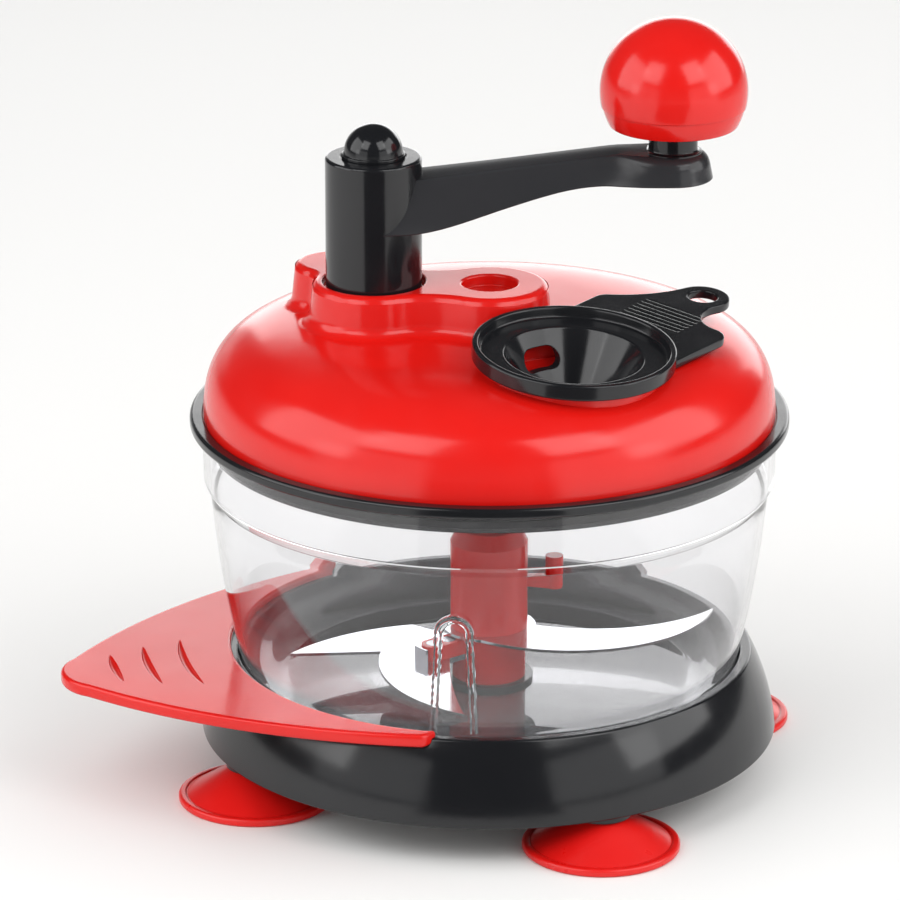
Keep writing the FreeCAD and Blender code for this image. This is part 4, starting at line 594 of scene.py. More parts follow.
# ---------------------------------------------------------------- base
def base_profile(cut):
    """The section of the base's shell; cut lowers the lip's top."""
    top = BASE_TOP_Z - cut
    outside = arc3((BASE_TOP_R, BASE_TOP_Z), BASE_MIDDLE, (BASE_BOTTOM_R, BASE_BOTTOM_Z), 24)
    inside = arc3((BASE_BOTTOM_R - WALL, BASE_BOTTOM_Z), (BASE_MIDDLE[0] - WALL, BASE_MIDDLE[1]),
                  (BASE_TOP_R - WALL, BASE_TOP_Z), 24)
    corners = [(0.0, SEAT_Z), (SEAT_R, SEAT_Z, 0.6), (SEAT_R, top, 0.6), (BASE_TOP_R, top, 1.1)]
    corners += outside[2:-1]
    corners += [(BASE_BOTTOM_R, BASE_BOTTOM_Z, 0.8), (BASE_BOTTOM_R - WALL, BASE_BOTTOM_Z)]
    corners += [p for p in inside[1:] if p[1] < SEAT_Z - WALL - 0.2]
    corners += [(BASE_BOTTOM_R - 6.0, SEAT_Z - WALL), (0.0, SEAT_Z - WALL)]
    return rounded(corners, False)


def base():
    """The black skirt, with the lip, the deck and a small notch in the lip."""
    profile = base_profile(0.0)
    lowered = base_profile(NOTCH_DEPTH)
    edges = [NOTCH_ANGLE + side * (NOTCH_HALF + out) for side, out in
             ((-1, 0.02), (-1, 0.0), (1, 0.0), (1, 0.02))]
    angles = sorted(edges + [a for a in (360.0 * i / WIDE for i in range(WIDE))
                             if abs(a - NOTCH_ANGLE) > NOTCH_HALF + 0.1])

    def shape(row, angle):
        return (lowered if abs(angle - NOTCH_ANGLE) < NOTCH_HALF + 0.01 else profile)[row]

    obj = smooth(mesh_object("base_skirt", *spin_uneven(profile, angles, shape)))
    return finish_piece(obj, "base", "black_plastic", "base_shell")


def suction_cup(index):
    """A thin domed cup with a beaded rim and a mushroom stem."""
    turn = radians(CUP_FIRST_ANGLE + 90.0 * index)
    centre = (CUP_PITCH_R * cos(turn), CUP_PITCH_R * sin(turn))
    inner_top = CUP_TOP_Z - CUP_WALL
    foot_r = CUP_R - 2.4
    bead_r = CUP_R - 2.8
    outer = arc3((bead_r, CUP_BEAD_Z - 0.4), (CUP_R * CUP_KNEE, CUP_TOP_Z * CUP_KNEE),
                 (CUP_CROWN_R, CUP_TOP_Z), 16)
    inner = arc3((CUP_CROWN_R, inner_top), (CUP_R * CUP_KNEE, inner_top * CUP_KNEE),
                 (foot_r, 0.0), 16)
    corners = [(0.0, inner_top)] + inner[:-1]
    corners += [(foot_r, 0.0, 0.4), (CUP_R, 0.0, 0.9), (CUP_R, CUP_BEAD_Z, 1.2)]
    corners += [(CUP_R - 2.2, CUP_BEAD_Z, 1.2), (bead_r, CUP_BEAD_Z - 0.45, 0.5)]
    corners += outer[1:]
    corners += [(STEM_R, CUP_TOP_Z), (STEM_R, STEM_BARB_Z), (STEM_BARB_R, STEM_BARB_Z, 0.3),
                (STEM_R, STEM_TOP_Z, 0.3), (0.0, STEM_TOP_Z)]
    name = "suction_cup_%d" % (index + 1)
    return turned_piece(name + "_cup", rounded(corners, False), "base", "red_rubber", name,
                        loop=False, centre=centre)


# ---------------------------------------------------------------- bowl
def rib_height(x, z):
    """How far the upside-down U stands out of the front wall."""
    knee_z = RIB_TOP_Z - RIB_TOP_HALF
    half_band = RIB_BAND / 2
    if z > knee_z:
        away = abs(hypot(x - RIB_X, z - knee_z) - (RIB_TOP_HALF - half_band))
    else:
        share = (z - RIB_BOTTOM_Z) / (knee_z - RIB_BOTTOM_Z)
        leg = mix(RIB_HALF, RIB_TOP_HALF, share) - half_band
        away = abs(abs(x - RIB_X) - leg)
    if z < RIB_BOTTOM_Z:
        return 0.0
    return RIB_PROUD * ease((half_band + 0.25 - away) / 0.75)


def bowl():
    """The clear bowl as one clean volume, with its foot, ledge and rib."""
    corner = (FLAT_R + (FOOT[0] - FLAT_R) * sqrt(0.5),
              FOOT[1] - (FOOT[1] - SEAT_Z) * sqrt(0.5))
    outside = [(0.0, RECESS_Z), (RECESS_R, RECESS_Z), (RECESS_R + 1.5, BOWL_BOTTOM_Z)]
    outside += arc3((FLAT_R, BOWL_BOTTOM_Z), corner, FOOT, 18)[:-1]
    wall = arc3(FOOT, MIDDLE, LEDGE, 150)
    outside += wall[:-1]
    outside += rounded([wall[-2], LEDGE + (0.5,), LEDGE_TOP + (0.5,), RIM + (0.9,),
                        (RIM[0] - BOWL_WALL, RIM[1], 0.9),
                        (LEDGE_TOP[0] - BOWL_WALL, LEDGE_TOP[1] - 0.4, 0.5),
                        (LEDGE[0] - BOWL_WALL, LEDGE[1] - 0.4, 0.5),
                        (LEDGE[0] - BOWL_WALL - 0.4, LEDGE[1] - 4.0)], False)[1:]
    inner_foot = (FOOT[0] - BOWL_WALL, FOOT[1])
    inner_wall = arc3((LEDGE[0] - BOWL_WALL - 0.4, LEDGE[1] - 4.0),
                      (MIDDLE[0] - BOWL_WALL, MIDDLE[1]), inner_foot, 40)
    flat = (FLAT_R - BOWL_WALL / 2, FLOOR_Z)
    inner_corner = (flat[0] + (inner_foot[0] - flat[0]) * sqrt(0.5),
                    inner_foot[1] - (inner_foot[1] - FLOOR_Z) * sqrt(0.5))
    inside = inner_wall[1:] + arc3(inner_foot, inner_corner, flat, 18)[1:]
    inside += rounded([(40.0, FLOOR_Z), (BOSS_R, FLOOR_Z, 0.4), (BOSS_R, BOSS_Z, 0.4),
                       (PIN_BORE_R, BOSS_Z), (PIN_BORE_R, PIN_FOOT_Z), (0.0, PIN_FOOT_Z)], False)
    profile = outside + inside
    middle = degrees(atan2(-MIDDLE[0], RIB_X)) % 360
    fine = [middle - RIB_FINE + 2 * RIB_FINE * i / 84 for i in range(85)]
    coarse = [360.0 * i / WIDE for i in range(WIDE)]
    angles = sorted(fine + [a for a in coarse if abs(a - middle) > RIB_FINE + 0.3])

    def shape(row, angle):
        r, z = profile[row]
        on_wall = row < len(outside) and RIB_BOTTOM_Z - 1 < z < RIB_TOP_Z + 1 and r > FLAT_R
        if on_wall and abs(angle - middle) < RIB_FINE + 0.3:
            return r + rib_height(r * cos(radians(angle)), z), z
        return r, z

    obj = smooth(mesh_object("clear_bowl", *spin_uneven(profile, angles, shape)), 40.0)
    return finish_piece(obj, "bowl", "clear_plastic", "bowl")


# ---------------------------------------------------------------- lid
def dome_point(turn, inset=0.0):
    """A (radius, height) point of the dome's section."""
    return ((DOME_R - inset) * max(cos(turn), 0.0) ** SIDE_POWER,
            DOME_Z + (DOME_HEIGHT - inset) * sin(turn) ** RISE_POWER)


def dome_z(r, inset=0.0):
    """The dome's height at a radius."""
    cosine = (min(r, DOME_R - inset) / (DOME_R - inset)) ** (1 / SIDE_POWER)
    sine = sqrt(max(1 - cosine * cosine, 0.0))
    return DOME_Z + (DOME_HEIGHT - inset) * sine ** RISE_POWER


def dome_normal(x, y, inset=0.0):
    """The dome's normal over a plan point."""
    r = hypot(x, y)
    if r < 0.5:
        return Vector((0, 0, 1))
    step = 0.05
    fall = (dome_z(r - step, inset) - dome_z(r + step, inset)) / (2 * step)
    return Vector((fall * x / r, fall * y / r, 1)).normalized()


def waist(c1, r1, c2, r2, radius, left):
    """The centre of a circle that touches two circles from outside, on one side of them."""
    gap = c2 - c1
    a = r1 + radius
    b = r2 + radius
    along = (a * a - b * b + gap.length_squared) / (2 * gap.length)
    across = sqrt(a * a - along * along)
    side = Vector((-gap.y, gap.x)).normalized()
    return c1 + gap.normalized() * along + side * (across if left else -across)


def lobe_run(centre, radius, start, end, convex, pitch):
    """Plan points with outward normals, counter-clockwise round the whole outline."""
    a = atan2(start.y, start.x)
    b = atan2(end.y, end.x)
    turn = (b - a) % (2 * pi) if convex else -((a - b) % (2 * pi))
    steps = max(4, ceil(abs(turn) * radius / pitch))
    run = []
    for k in range(steps):
        way = Vector((cos(a + turn * k / steps), sin(a + turn * k / steps)))
        run.append((centre + way * radius, way if convex else -way))
    return run


def tower_outline(pitch=0.9):
    """The three-lobed outline of the gear tower."""
    front = waist(HUB, HUB_LOBE_R, AXIS, AXIS_LOBE_R, FRONT_WAIST_R, False)
    back = waist(AXIS, AXIS_LOBE_R, LUG, LUG_LOBE_R, BACK_WAIST_R, False)
    notch = waist(LUG, LUG_LOBE_R, HUB, HUB_LOBE_R, NOTCH_WAIST_R, False)
    run = lobe_run(AXIS, AXIS_LOBE_R, front - AXIS, back - AXIS, True, pitch)
    run += lobe_run(back, BACK_WAIST_R, AXIS - back, LUG - back, False, pitch)
    run += lobe_run(LUG, LUG_LOBE_R, back - LUG, notch - LUG, True, pitch)
    run += lobe_run(notch, NOTCH_WAIST_R, LUG - notch, HUB - notch, False, pitch / 3)
    run += lobe_run(HUB, HUB_LOBE_R, notch - HUB, front - HUB, True, pitch)
    run += lobe_run(front, FRONT_WAIST_R, HUB - front, AXIS - front, False, pitch)
    return run


def foot_round(at, way):
    """Centre and landing offset of the fillet between the tower's wall and the dome."""
    offset = FOOT_ROUND + 1.0
    height = 0.0
    centre = offset
    for _ in range(40):
        step = 0.05
        low = dome_z((at + way * (offset - step)).length)
        high = dome_z((at + way * (offset + step)).length)
        slope = (high - low) / (2 * step)
        scale = sqrt(1 + slope * slope)
        height = dome_z((at + way * offset).length) + FOOT_ROUND / scale
        centre = (FOOT_ROUND - (height - TOWER_Z) * sin(TOWER_DRAFT)) / cos(TOWER_DRAFT)
        offset = centre + FOOT_ROUND * slope / scale
    return centre, height, offset


def tower_rows(outline):
    """Rings of points and normals from the tower's flat top down to the dome."""
    up = Vector((0, 0, 1))
    rows = []
    for k in range(9):
        a = mix(pi / 2, TOWER_DRAFT, k / 8)
        offset = SOFT_EDGE_START + TOWER_ROUND * cos(a)
        z = TOWER_Z - TOWER_ROUND + TOWER_ROUND * sin(a)
        rows.append([((at.x + way.x * offset, at.y + way.y * offset, z),
                      Vector((way.x, way.y, 0)) * cos(a) + up * sin(a))
                     for at, way in outline])
    feet = [foot_round(at, way) for at, way in outline]
    for k in range(11):
        row = []
        for (at, way), (centre, height, offset) in zip(outline, feet):
            wall_normal = Vector((way.x, way.y, 0)) * cos(TOWER_DRAFT) + up * sin(
                TOWER_DRAFT)
            landing = at + way * offset
            dome_way = dome_normal(landing.x, landing.y)
            first = pi + TOWER_DRAFT
            last = atan2(dome_z(landing.length) - height, offset - centre) % (2 * pi)
            a = mix(first, last, k / 10)
            reach = centre + FOOT_ROUND * cos(a)
            spot = at + way * reach
            z = height + FOOT_ROUND * sin(a)
            row.append(((spot.x, spot.y, z), wall_normal.lerp(dome_way, k / 10).normalized()))
        rows.append(row)
    return rows


def inside_loop(p, loop):
    """True if the plan point is inside the closed loop."""
    inside = False
    for i in range(len(loop)):
        (ax, ay), (bx, by) = loop[i - 1][:2], loop[i][:2]
        if (ay > p.y) != (by > p.y) and p.x < ax + (p.y - ay) / (by - ay) * (bx - ax):
            inside = not inside
    return inside


def plan_fill(loops, extra=(), lines=()):
    """Plan points and triangles inside the first loop and outside the others."""
    points, edges = [], []
    for loop in list(loops) + list(lines):
        start = len(points)
        points += [Vector(p[:2]) for p in loop]
        edges += [(start + i, start + (i + 1) % len(loop)) for i in range(len(loop))]
    points += extra
    spots, _, triangles, origins, _, _ = delaunay_2d_cdt(points, edges, [], 0, 1e-5)
    kept = []
    for triangle in triangles:
        middle = sum((spots[i] for i in triangle), Vector((0, 0))) / 3
        if inside_loop(middle, loops[0]) and not any(inside_loop(middle, l) for l in loops[1:]):
            kept.append(triangle)
    return spots, kept, [min(o) if o else None for o in origins]


class Skin:
    """Faces with a normal of their own at each corner."""

    def __init__(self):
        self.points, self.faces, self.normals = [], [], []

    def add(self, points):
        start = len(self.points)
        self.points += [tuple(p) for p in points]
        return list(range(start, start + len(points)))

    def face(self, corners, normals):
        a, b, c = (Vector(self.points[i]) for i in corners[:3])
        facing = (b - a).cross(c - a)
        if len(corners) == 4:
            facing += (c - a).cross(Vector(self.points[corners[3]]) - a)
        if facing.dot(sum(normals, Vector())) < 0:
            corners, normals = corners[::-1], normals[::-1]
        self.faces.append(tuple(corners))
        self.normals.append(normals)

    def strip(self, a, b, a_ways, b_ways):
        for i in range(len(a)):
            j = (i + 1) % len(a)
            self.face([a[i], a[j], b[j], b[i]], [a_ways[i], a_ways[j], b_ways[j], b_ways[i]])

    def build(self, name):
        obj = mesh_object(name, self.points, self.faces, recalculate=False)
        obj.data.shade_smooth()
        obj.data.normals_split_custom_set([tuple(n) for face in self.normals for n in face])
        return obj


def distance_to(loop):
    """A test of how far a plan point is from a loop of points."""
    def measure(p):
        return min((p.x - q[0]) ** 2 + (p.y - q[1]) ** 2 for q in loop) ** 0.5
    return measure


def cap_of_dome(skin, outer, holes, inset, up):
    """The flat-lying part of the dome between an outer circle and holes."""
    loops = [[skin.points[i][:2] for i in outer]]
    loops += [[skin.points[i][:2] for i in hole] for hole in holes]
    spacing = CAP_SPACING
    tests = [distance_to(loop) for loop in loops]
    limit = hypot(*loops[0][0]) - spacing * 0.6
    rows = int(limit / spacing / ROW_SHARE) + 1
    extra = []
    for i in range(-rows, rows + 1):
        for j in range(-rows, rows + 1):
            p = Vector(((i + (j % 2) / 2) * spacing, j * spacing * ROW_SHARE))
            near = any(test(p) < spacing * 0.5 for test in tests[1:])
            if p.length < limit and not near and not any(inside_loop(p, l) for l in loops[1:]):
                extra.append(p)
    points, triangles, origins = plan_fill(loops, extra)
    index = [i for ring in [outer] + list(holes) for i in ring]
    place = {}
    for triangle in triangles:
        for i in triangle:
            if i not in place:
                known = origins[i] is not None and origins[i] < len(index)
                spot = points[i]
                place[i] = (index[origins[i]] if known else
                            skin.add([(spot.x, spot.y, dome_z(spot.length, inset))])[0])
        corners = [place[i] for i in triangle]
        skin.face(corners, [dome_normal(*skin.points[i][:2], inset) * up for i in corners])


def tower_inset(p, outline):
    """How far a plan point is inside the tower's outline, and the way out."""
    best = (1e9, None)
    for i in range(len(outline)):
        a, b = outline[i - 1][0], outline[i][0]
        along = b - a
        share = min(max((p - a).dot(along) / along.length_squared, 0.0), 1.0)
        away = a + along * share - p
        if away.length < best[0]:
            best = (away.length, outline[i - 1][1].lerp(outline[i][1], share).normalized())
    return best


def tower_top(p, outline):
    """Height and normal of the tower's flat top and the soft edge round it."""
    inset, way = tower_inset(p, outline)
    cosine = (-inset - SOFT_EDGE_START) / TOWER_ROUND
    if cosine <= 0.0:
        return TOWER_Z, Vector((0, 0, 1))
    sine = sqrt(max(1 - cosine * cosine, 0.0))
    return (TOWER_Z - TOWER_ROUND + TOWER_ROUND * sine,
            Vector((way.x * cosine, way.y * cosine, sine)))


def flat_between(skin, outer, way):
    """A flat face inside a ring."""
    _, triangles, origins = plan_fill([[skin.points[i][:2] for i in outer]])
    for triangle in triangles:
        skin.face([outer[origins[i]] for i in triangle], [way] * 3)


def pocket(skin, rim, heights, centre, radius, floor_z, edge):
    """A round pocket sunk below a rim ring, with an eased edge."""
    rows = []
    for k in range(1, 5):
        a = pi / 2 * k / 4
        rows.append((radius + edge * (1 - sin(a)), edge * (1 - cos(a)), None,
                     sin(a), cos(a)))
    for k in range(5):
        a = pi / 2 * k / 4
        rows.append((radius - 0.5 * (1 - cos(a)), 0.0, floor_z + 0.5 * (1 - sin(a)),
                     cos(a), sin(a)))
    ways = [(Vector(skin.points[i][:2]) - centre).normalized() for i in rim]
    last = (rim, [Vector((0, 0, 1))] * len(rim))
    for r, drop, z, inward, upward in rows:
        ring = skin.add([(centre.x + w.x * r, centre.y + w.y * r, h - drop if z is None else z)
                         for w, h in zip(ways, heights)])
        normals = [Vector((-w.x * inward, -w.y * inward, upward)) for w in ways]
        skin.strip(last[0], ring, last[1], normals)
        last = (ring, normals)
    flat_between(skin, last[0], Vector((0, 0, 1)))


def tower_cap(skin, outline, outer, lines):
    """The tower's top inside a ring, with the hub's recess and the spindle's hole."""
    pockets = [(HUB, HUB_RECESS_R, TOWER_Z - HUB_RECESS_DEPTH, 0.5),
               (AXIS, AXIS_HOLE_R, TOWER_Z - AXIS_HOLE_DEPTH, 0.9)]
    loops = [[skin.points[i][:2] for i in outer]]
    loops += [circle(c, r + edge, 128) for c, r, _, edge in pockets]
    points, triangles, origins = plan_fill(loops, (), lines)
    place, ways = {}, {}
    for i in {i for triangle in triangles for i in triangle}:
        if origins[i] is not None and origins[i] < len(outer):
            place[i] = outer[origins[i]]
            z, ways[i] = tower_top(points[i], outline)
        else:
            z, ways[i] = tower_top(points[i], outline)
            place[i] = skin.add([(points[i].x, points[i].y, z)])[0]
    for triangle in triangles:
        skin.face([place[i] for i in triangle], [ways[i] for i in triangle])
    for centre, radius, floor_z, edge in pockets:
        rim = [i for i in place if abs((points[i] - centre).length - radius - edge) < 0.03]
        rim.sort(key=lambda i: atan2(points[i].y - centre.y, points[i].x - centre.x))
        ring = [place[i] for i in rim]
        pocket(skin, ring, [skin.points[i][2] for i in ring], centre, radius, floor_z, edge)


def lid_dome():
    """The red dome, its gear tower with soft foot flares, and the pockets in its top."""
    skin = Skin()
    outline = tower_outline()
    previous = None
    rows = tower_rows(outline)
    for row in rows[8:]:
        ring = skin.add([p for p, _ in row])
        ways = [w for _, w in row]
        if previous:
            skin.strip(previous[0], ring, previous[1], ways)
        else:
            top_ring = ring
        previous = (ring, ways)
    foot_ring = previous[0]
    tower_cap(skin, outline, top_ring, [[p for p, _ in row] for row in rows[:8]])

    edge_turn = acos(DOME_EDGE ** (1 / SIDE_POWER))
    holes = {}
    bottoms = {}
    for inset, up in ((0.0, 1), (WALL, -1)):
        last = None
        for k in range(45):
            turn = edge_turn * (1 - k / 44)
            r, z = dome_point(turn, inset)
            ring = skin.add([(x, y, z) for x, y in circle((0, 0), r, WIDE)])
            r_next = dome_point(max(turn - 0.004, 0.0), inset)
            r_back = dome_point(turn + 0.004, inset)
            along = Vector((r_next[0] - r_back[0], r_next[1] - r_back[1])).normalized()
            ways = [Vector((x, y, along.x)) * up for x, y in circle((0, 0), -along.y, WIDE)]
            if last:
                skin.strip(last[0], ring, last[1], ways)
            else:
                edge_ring = ring
            last = (ring, ways)
        bottoms[up] = last[0]
        hole = skin.add([(x, y, dome_z(hypot(x, y), inset))
                         for x, y in circle(PORT, DOME_HOLE_R, 96)])
        holes[up] = hole
        cap_of_dome(skin, edge_ring, [hole, foot_ring] if up > 0 else [hole], inset, up)
    steps = len(holes[1])
    inward = [Vector((-x, -y, 0)) for x, y in circle((0, 0), 1.0, steps)]
    skin.strip(holes[1], holes[-1], inward, inward)
    down = [Vector((0, 0, -1))] * WIDE
    skin.strip(bottoms[1], bottoms[-1], down, down)
    obj = skin.build("lid_dome")
    return finish_piece(obj, "lid", "red_plastic", "lid_shell")


def feed_collar():
    """The port's collar and its wall down to the inner plate."""
    collar, faces = spin(rounded([(BORE_R, -12.0), (BORE_R, 0.0, 0.6), (COLLAR_R, 0.0, 1.2),
                                  (COLLAR_R, -12.0)], True), True, 160)
    wall = spin([(BORE_R, 124.05), (BORE_R, 150.5), (BORE_R + 2.0, 150.5),
                 (BORE_R + 2.0, 124.05)], True, 120, (PORT.x, PORT.y))
    obj = smooth(mesh_object("feed_collar", *joined((port_frame(collar), faces), wall)))
    return finish_piece(obj, "lid", "red_plastic")


def lid_plate():
    """The black ring and floor under the dome, with its centring skirt."""
    seat_z = DOME_Z - 0.05
    corners = [(SPINDLE_BORE_R, RING_Z), (SKIRT_INNER_R, RING_Z), (SKIRT_INNER_R, SKIRT_Z, 0.6),
               (SKIRT_R, SKIRT_Z, 0.8), (SKIRT_R, RING_Z), (RING_R, RING_Z, 1.1),
               (RING_R, RING_TOP_Z, 1.3), (RING_INNER_R, RING_TOP_Z, 0.5), (RING_INNER_R, seat_z),
               (SEAT_INNER_R, seat_z), (SEAT_INNER_R, PLATE_TOP_Z), (GEARBOX_TUBE_R, PLATE_TOP_Z),
               (GEARBOX_TUBE_R, GEARBOX_TUBE_Z, 0.4), (SPINDLE_BORE_R, GEARBOX_TUBE_Z, 0.4)]
    obj = mesh_object("lid_plate", *spin(rounded(corners, True), True, WIDE))
    low, high = RING_Z - 3.5, RING_Z + 8.5
    carve(obj, *spin([(0.0, low), (BORE_R, low), (BORE_R, high), (0.0, high)], False, SMALL,
                     (PORT.x, PORT.y)))
    return finish_piece(smooth(obj), "lid", "black_plastic", "lid_inner_plate")


# ---------------------------------------------------------------- egg separator
def plate_between(loops, bottom, top, edge):
    """A flat plate on plan loops of (point, outward normal), with eased edges."""
    skin_points, faces = [], []
    rows = [(-edge - SUPPORT * 2, bottom), (-edge, bottom)]
    for k in range(1, 5):
        a = pi / 2 * k / 4
        rows.append((-edge + edge * sin(a), bottom + edge - edge * cos(a)))
    for k in range(5):
        a = pi / 2 * k / 4
        rows.append((-edge + edge * cos(a), top - edge + edge * sin(a)))
    rows.append((-edge - SUPPORT * 2, top))
    caps = {0: [], len(rows) - 1: []}
    for loop in loops:
        before = None
        for k, (offset, z) in enumerate(rows):
            start = len(skin_points)
            skin_points += [(at.x + way.x * offset, at.y + way.y * offset, z) for at, way in loop]
            ring = list(range(start, start + len(loop)))
            if k in caps:
                caps[k].append(ring)
            if before:
                faces += band(before, ring)
            before = ring
    for rings in caps.values():
        plan = [[skin_points[i][:2] for i in ring] for ring in rings]
        index = [i for ring in rings for i in ring]
        _, triangles, origins = plan_fill(plan)
        faces += [tuple(index[origins[i]] for i in t) for t in triangles]
    return skin_points, faces


def straight(a, b, steps, way):
    """Plan points from a towards b, all with one outward normal."""
    return [(a.lerp(b, k / steps), way) for k in range(steps)]


def tab_loops():
    """The hang tab's outline and its eye, as plan points with outward normals."""
    eye = Vector((TAB_EYE_AT, 0.0))
    upper = Vector((TAB_SHOULDER, TAB_HALF - TAB_SHOULDER_ROUND))
    lower = Vector((upper.x, -upper.y))
    pinch = waist(upper, TAB_SHOULDER_ROUND, eye, TAB_EYE_R, TAB_FAR_WAIST_R, True)
    pinch_low = waist(upper, TAB_SHOULDER_ROUND, eye, TAB_EYE_R, TAB_WAIST_R, True)
    pinch_low.y = -pinch_low.y
    side = Vector((0.0, 1.0))
    root = Vector((TAB_ROOT, TAB_HALF))
    root_low = Vector((TAB_ROOT, -TAB_HALF))
    pitch = 0.7
    run = straight(root_low, Vector((TAB_SHOULDER, -TAB_HALF)), 20, -side)
    run += lobe_run(lower, TAB_SHOULDER_ROUND, -side, pinch_low - lower, True, pitch)
    run += lobe_run(pinch_low, TAB_WAIST_R, lower - pinch_low, eye - pinch_low, False, pitch)
    run += lobe_run(eye, TAB_EYE_R, pinch_low - eye, pinch - eye, True, pitch)
    run += lobe_run(pinch, TAB_FAR_WAIST_R, eye - pinch, upper - pinch, False, pitch)
    run += lobe_run(upper, TAB_SHOULDER_ROUND, pinch - upper, side, True, pitch)
    run += straight(Vector((TAB_SHOULDER, TAB_HALF)), root, 20, side)
    run += straight(root, root_low, 30, Vector((-1.0, 0.0)))
    rays = [Vector(p) for p in circle((0, 0), 1.0, 64)]
    return [run, [(eye + ray * TAB_HOLE_R, -ray) for ray in rays]]


def turned_about_z(points, angle):
    """Points turned about the Z axis."""
    turn = Matrix.Rotation(radians(angle), 4, "Z")
    return [tuple(turn @ Vector(p)) for p in points]


def stadium(length, half, inner, outer):
    """A bar along X with an upright stadium section, for a slot."""
    section = []
    for side in (1, -1):
        for k in range(12):
            a = -side * pi / 2 + pi * k / 11
            section.append((side * (length / 2 - half) + half * cos(a), half * sin(a)))
    points = [(x, y, z) for x in (inner, outer) for y, z in section]
    ends = [range(len(section)), range(len(section), 2 * len(section))]
    return points, [tuple(end) for end in ends] + band(*ends)


def separator():
    """The black egg separator: dish, yolk cup with drain slots, and grooved hang tab."""
    profile = rounded([(0.0, -17.0), (13.6, -17.0, 2.5), (24.2, 0.05, 1.0), (33.3, 0.05, 0.7),
                       (33.3, 5.4, 0.8), (31.3, 5.4, 0.7), (30.6, 2.0, 0.9), (22.9, 2.0, 1.0),
                       (12.0, -15.4, 3.0), (0.0, -15.4)], False)
    points, faces = spin(profile, False, 160)
    body = mesh_object("egg_separator_dish", port_frame(points), faces)
    points, faces = plate_between(tab_loops(), TAB_TOP - TAB_THICK, TAB_TOP, TAB_ROUND)
    tab = mesh_object("tab", port_frame(turned_about_z(points, TAB_ANGLE)), faces)
    for i in range(TAB_GROOVES):
        at = TAB_FIRST_GROOVE + TAB_GROOVE_PITCH * i
        points, faces = stadium(TAB_GROOVE_LENGTH, TAB_GROOVE_HALF, -1.0, 1.0)
        points = [(at + z, y, TAB_TOP - TAB_GROOVE_SINK + x * TAB_GROOVE_HALF)
                  for x, y, z in points]
        carve(tab, port_frame(turned_about_z(points, TAB_ANGLE)), faces)
    points, faces = spin([(0.0, -8.0), (TRIM_R, -8.0), (TRIM_R, 8.0), (0.0, 8.0)], False, SMALL)
    carve(tab, port_frame(points), faces)
    boolean(body, tab, "UNION")
    for turn in DRAIN_ANGLES:
        points, faces = stadium(DRAIN_LENGTH, DRAIN_HALF, 6.0, 30.0)
        points = [(x, y, z + DRAIN_Z) for x, y, z in points]
        carve(body, port_frame(turned_about_z(points, turn)), faces)
    return finish_piece(smooth(body), "egg_separator", "black_plastic", "egg_separator")


# ---------------------------------------------------------------- side handle
def outward(points):
    """Counter-clockwise plan points, each with its outward normal."""
    pairs = []
    for i, here in enumerate(points):
        along = Vector(points[(i + 1) % len(points)]) - Vector(points[i - 1])
        pairs.append((Vector(here), Vector((along.y, -along.x)).normalized()))
    return pairs


def polar(radius, angle):
    """A plan point from its distance and angle about the bowl's axis."""
    a = radians(angle)
    return radius * cos(a), radius * sin(a)


def mirrored(point):
    """The plan point on the handle's other side."""
    return point[0], -point[1]


def handle_outline():
    """The leaf: blunt horns along the lip, and sides that meet in a rounded tip."""
    side = polar(*HANDLE_SIDE)
    horn = polar(*HANDLE_HORN)
    trim = 3
    half = [polar(HANDLE_INNER_R, HANDLE_INNER_ANGLE), (*horn, HANDLE_CORNER_ROUND)]
    half += arc3(horn, side, HANDLE_SHOULDER, 64)[trim:-trim]
    half += [(*HANDLE_SHOULDER, HANDLE_CORNER_ROUND)]
    tip = arc3(HANDLE_SHOULDER, (HANDLE_REACH, 0.0), mirrored(HANDLE_SHOULDER), 28)[trim:-trim]
    upper = rounded(half + tip[:len(tip) // 2 + 1], False)
    lower = [mirrored(p) for p in upper]
    inner = [polar(HANDLE_INNER_R, HANDLE_INNER_ANGLE * (1 - k / 30)) for k in range(1, 60)]
    return outward(lower + upper[-2::-1] + inner)


def grip_groove(radius, half_length):
    """A crescent cutter round the bowl's axis that runs out to a point at each end."""
    spread = half_length / radius
    count, around = 36, 20
    points = []
    for k in range(count + 1):
        t = 2 * k / count - 1
        size = max((1 - t * t) ** 0.75, 0.02)
        for i in range(around):
            a = 2 * pi * i / around
            out = radius + HANDLE_GROOVE_HALF * size * cos(a)
            lift = HANDLE_GROOVE_RISE + HANDLE_GROOVE_DEPTH * sin(a)
            points.append((*polar(out, degrees(spread * t)), HANDLE_TOP_Z + size * lift))
    rings = [range(k * around, (k + 1) * around) for k in range(count + 1)]
    faces = [tuple(rings[0]), tuple(rings[-1])]
    for a, b in zip(rings, rings[1:]):
        faces += band(a, b)
    return points, faces


def stay_handle():
    """The red side handle: a plate with rounded edges and three grip grooves."""
    points, faces = plate_between([handle_outline()], HANDLE_TOP_Z - HANDLE_THICK, HANDLE_TOP_Z,
                                  HANDLE_EDGE_ROUND)
    plate = mesh_object("stay_handle_leaf", turned_about_z(points, HANDLE_ANGLE), faces)
    for from_tip, half_length in HANDLE_GROOVES:
        points, faces = grip_groove(HANDLE_REACH - from_tip, half_length)
        carve(plate, turned_about_z(points, HANDLE_ANGLE), faces)
    carve(plate, *spin(HANDLE_SEAT, False, 192))
    return finish_piece(smooth(plate), "base", "red_plastic", "stay_handle")


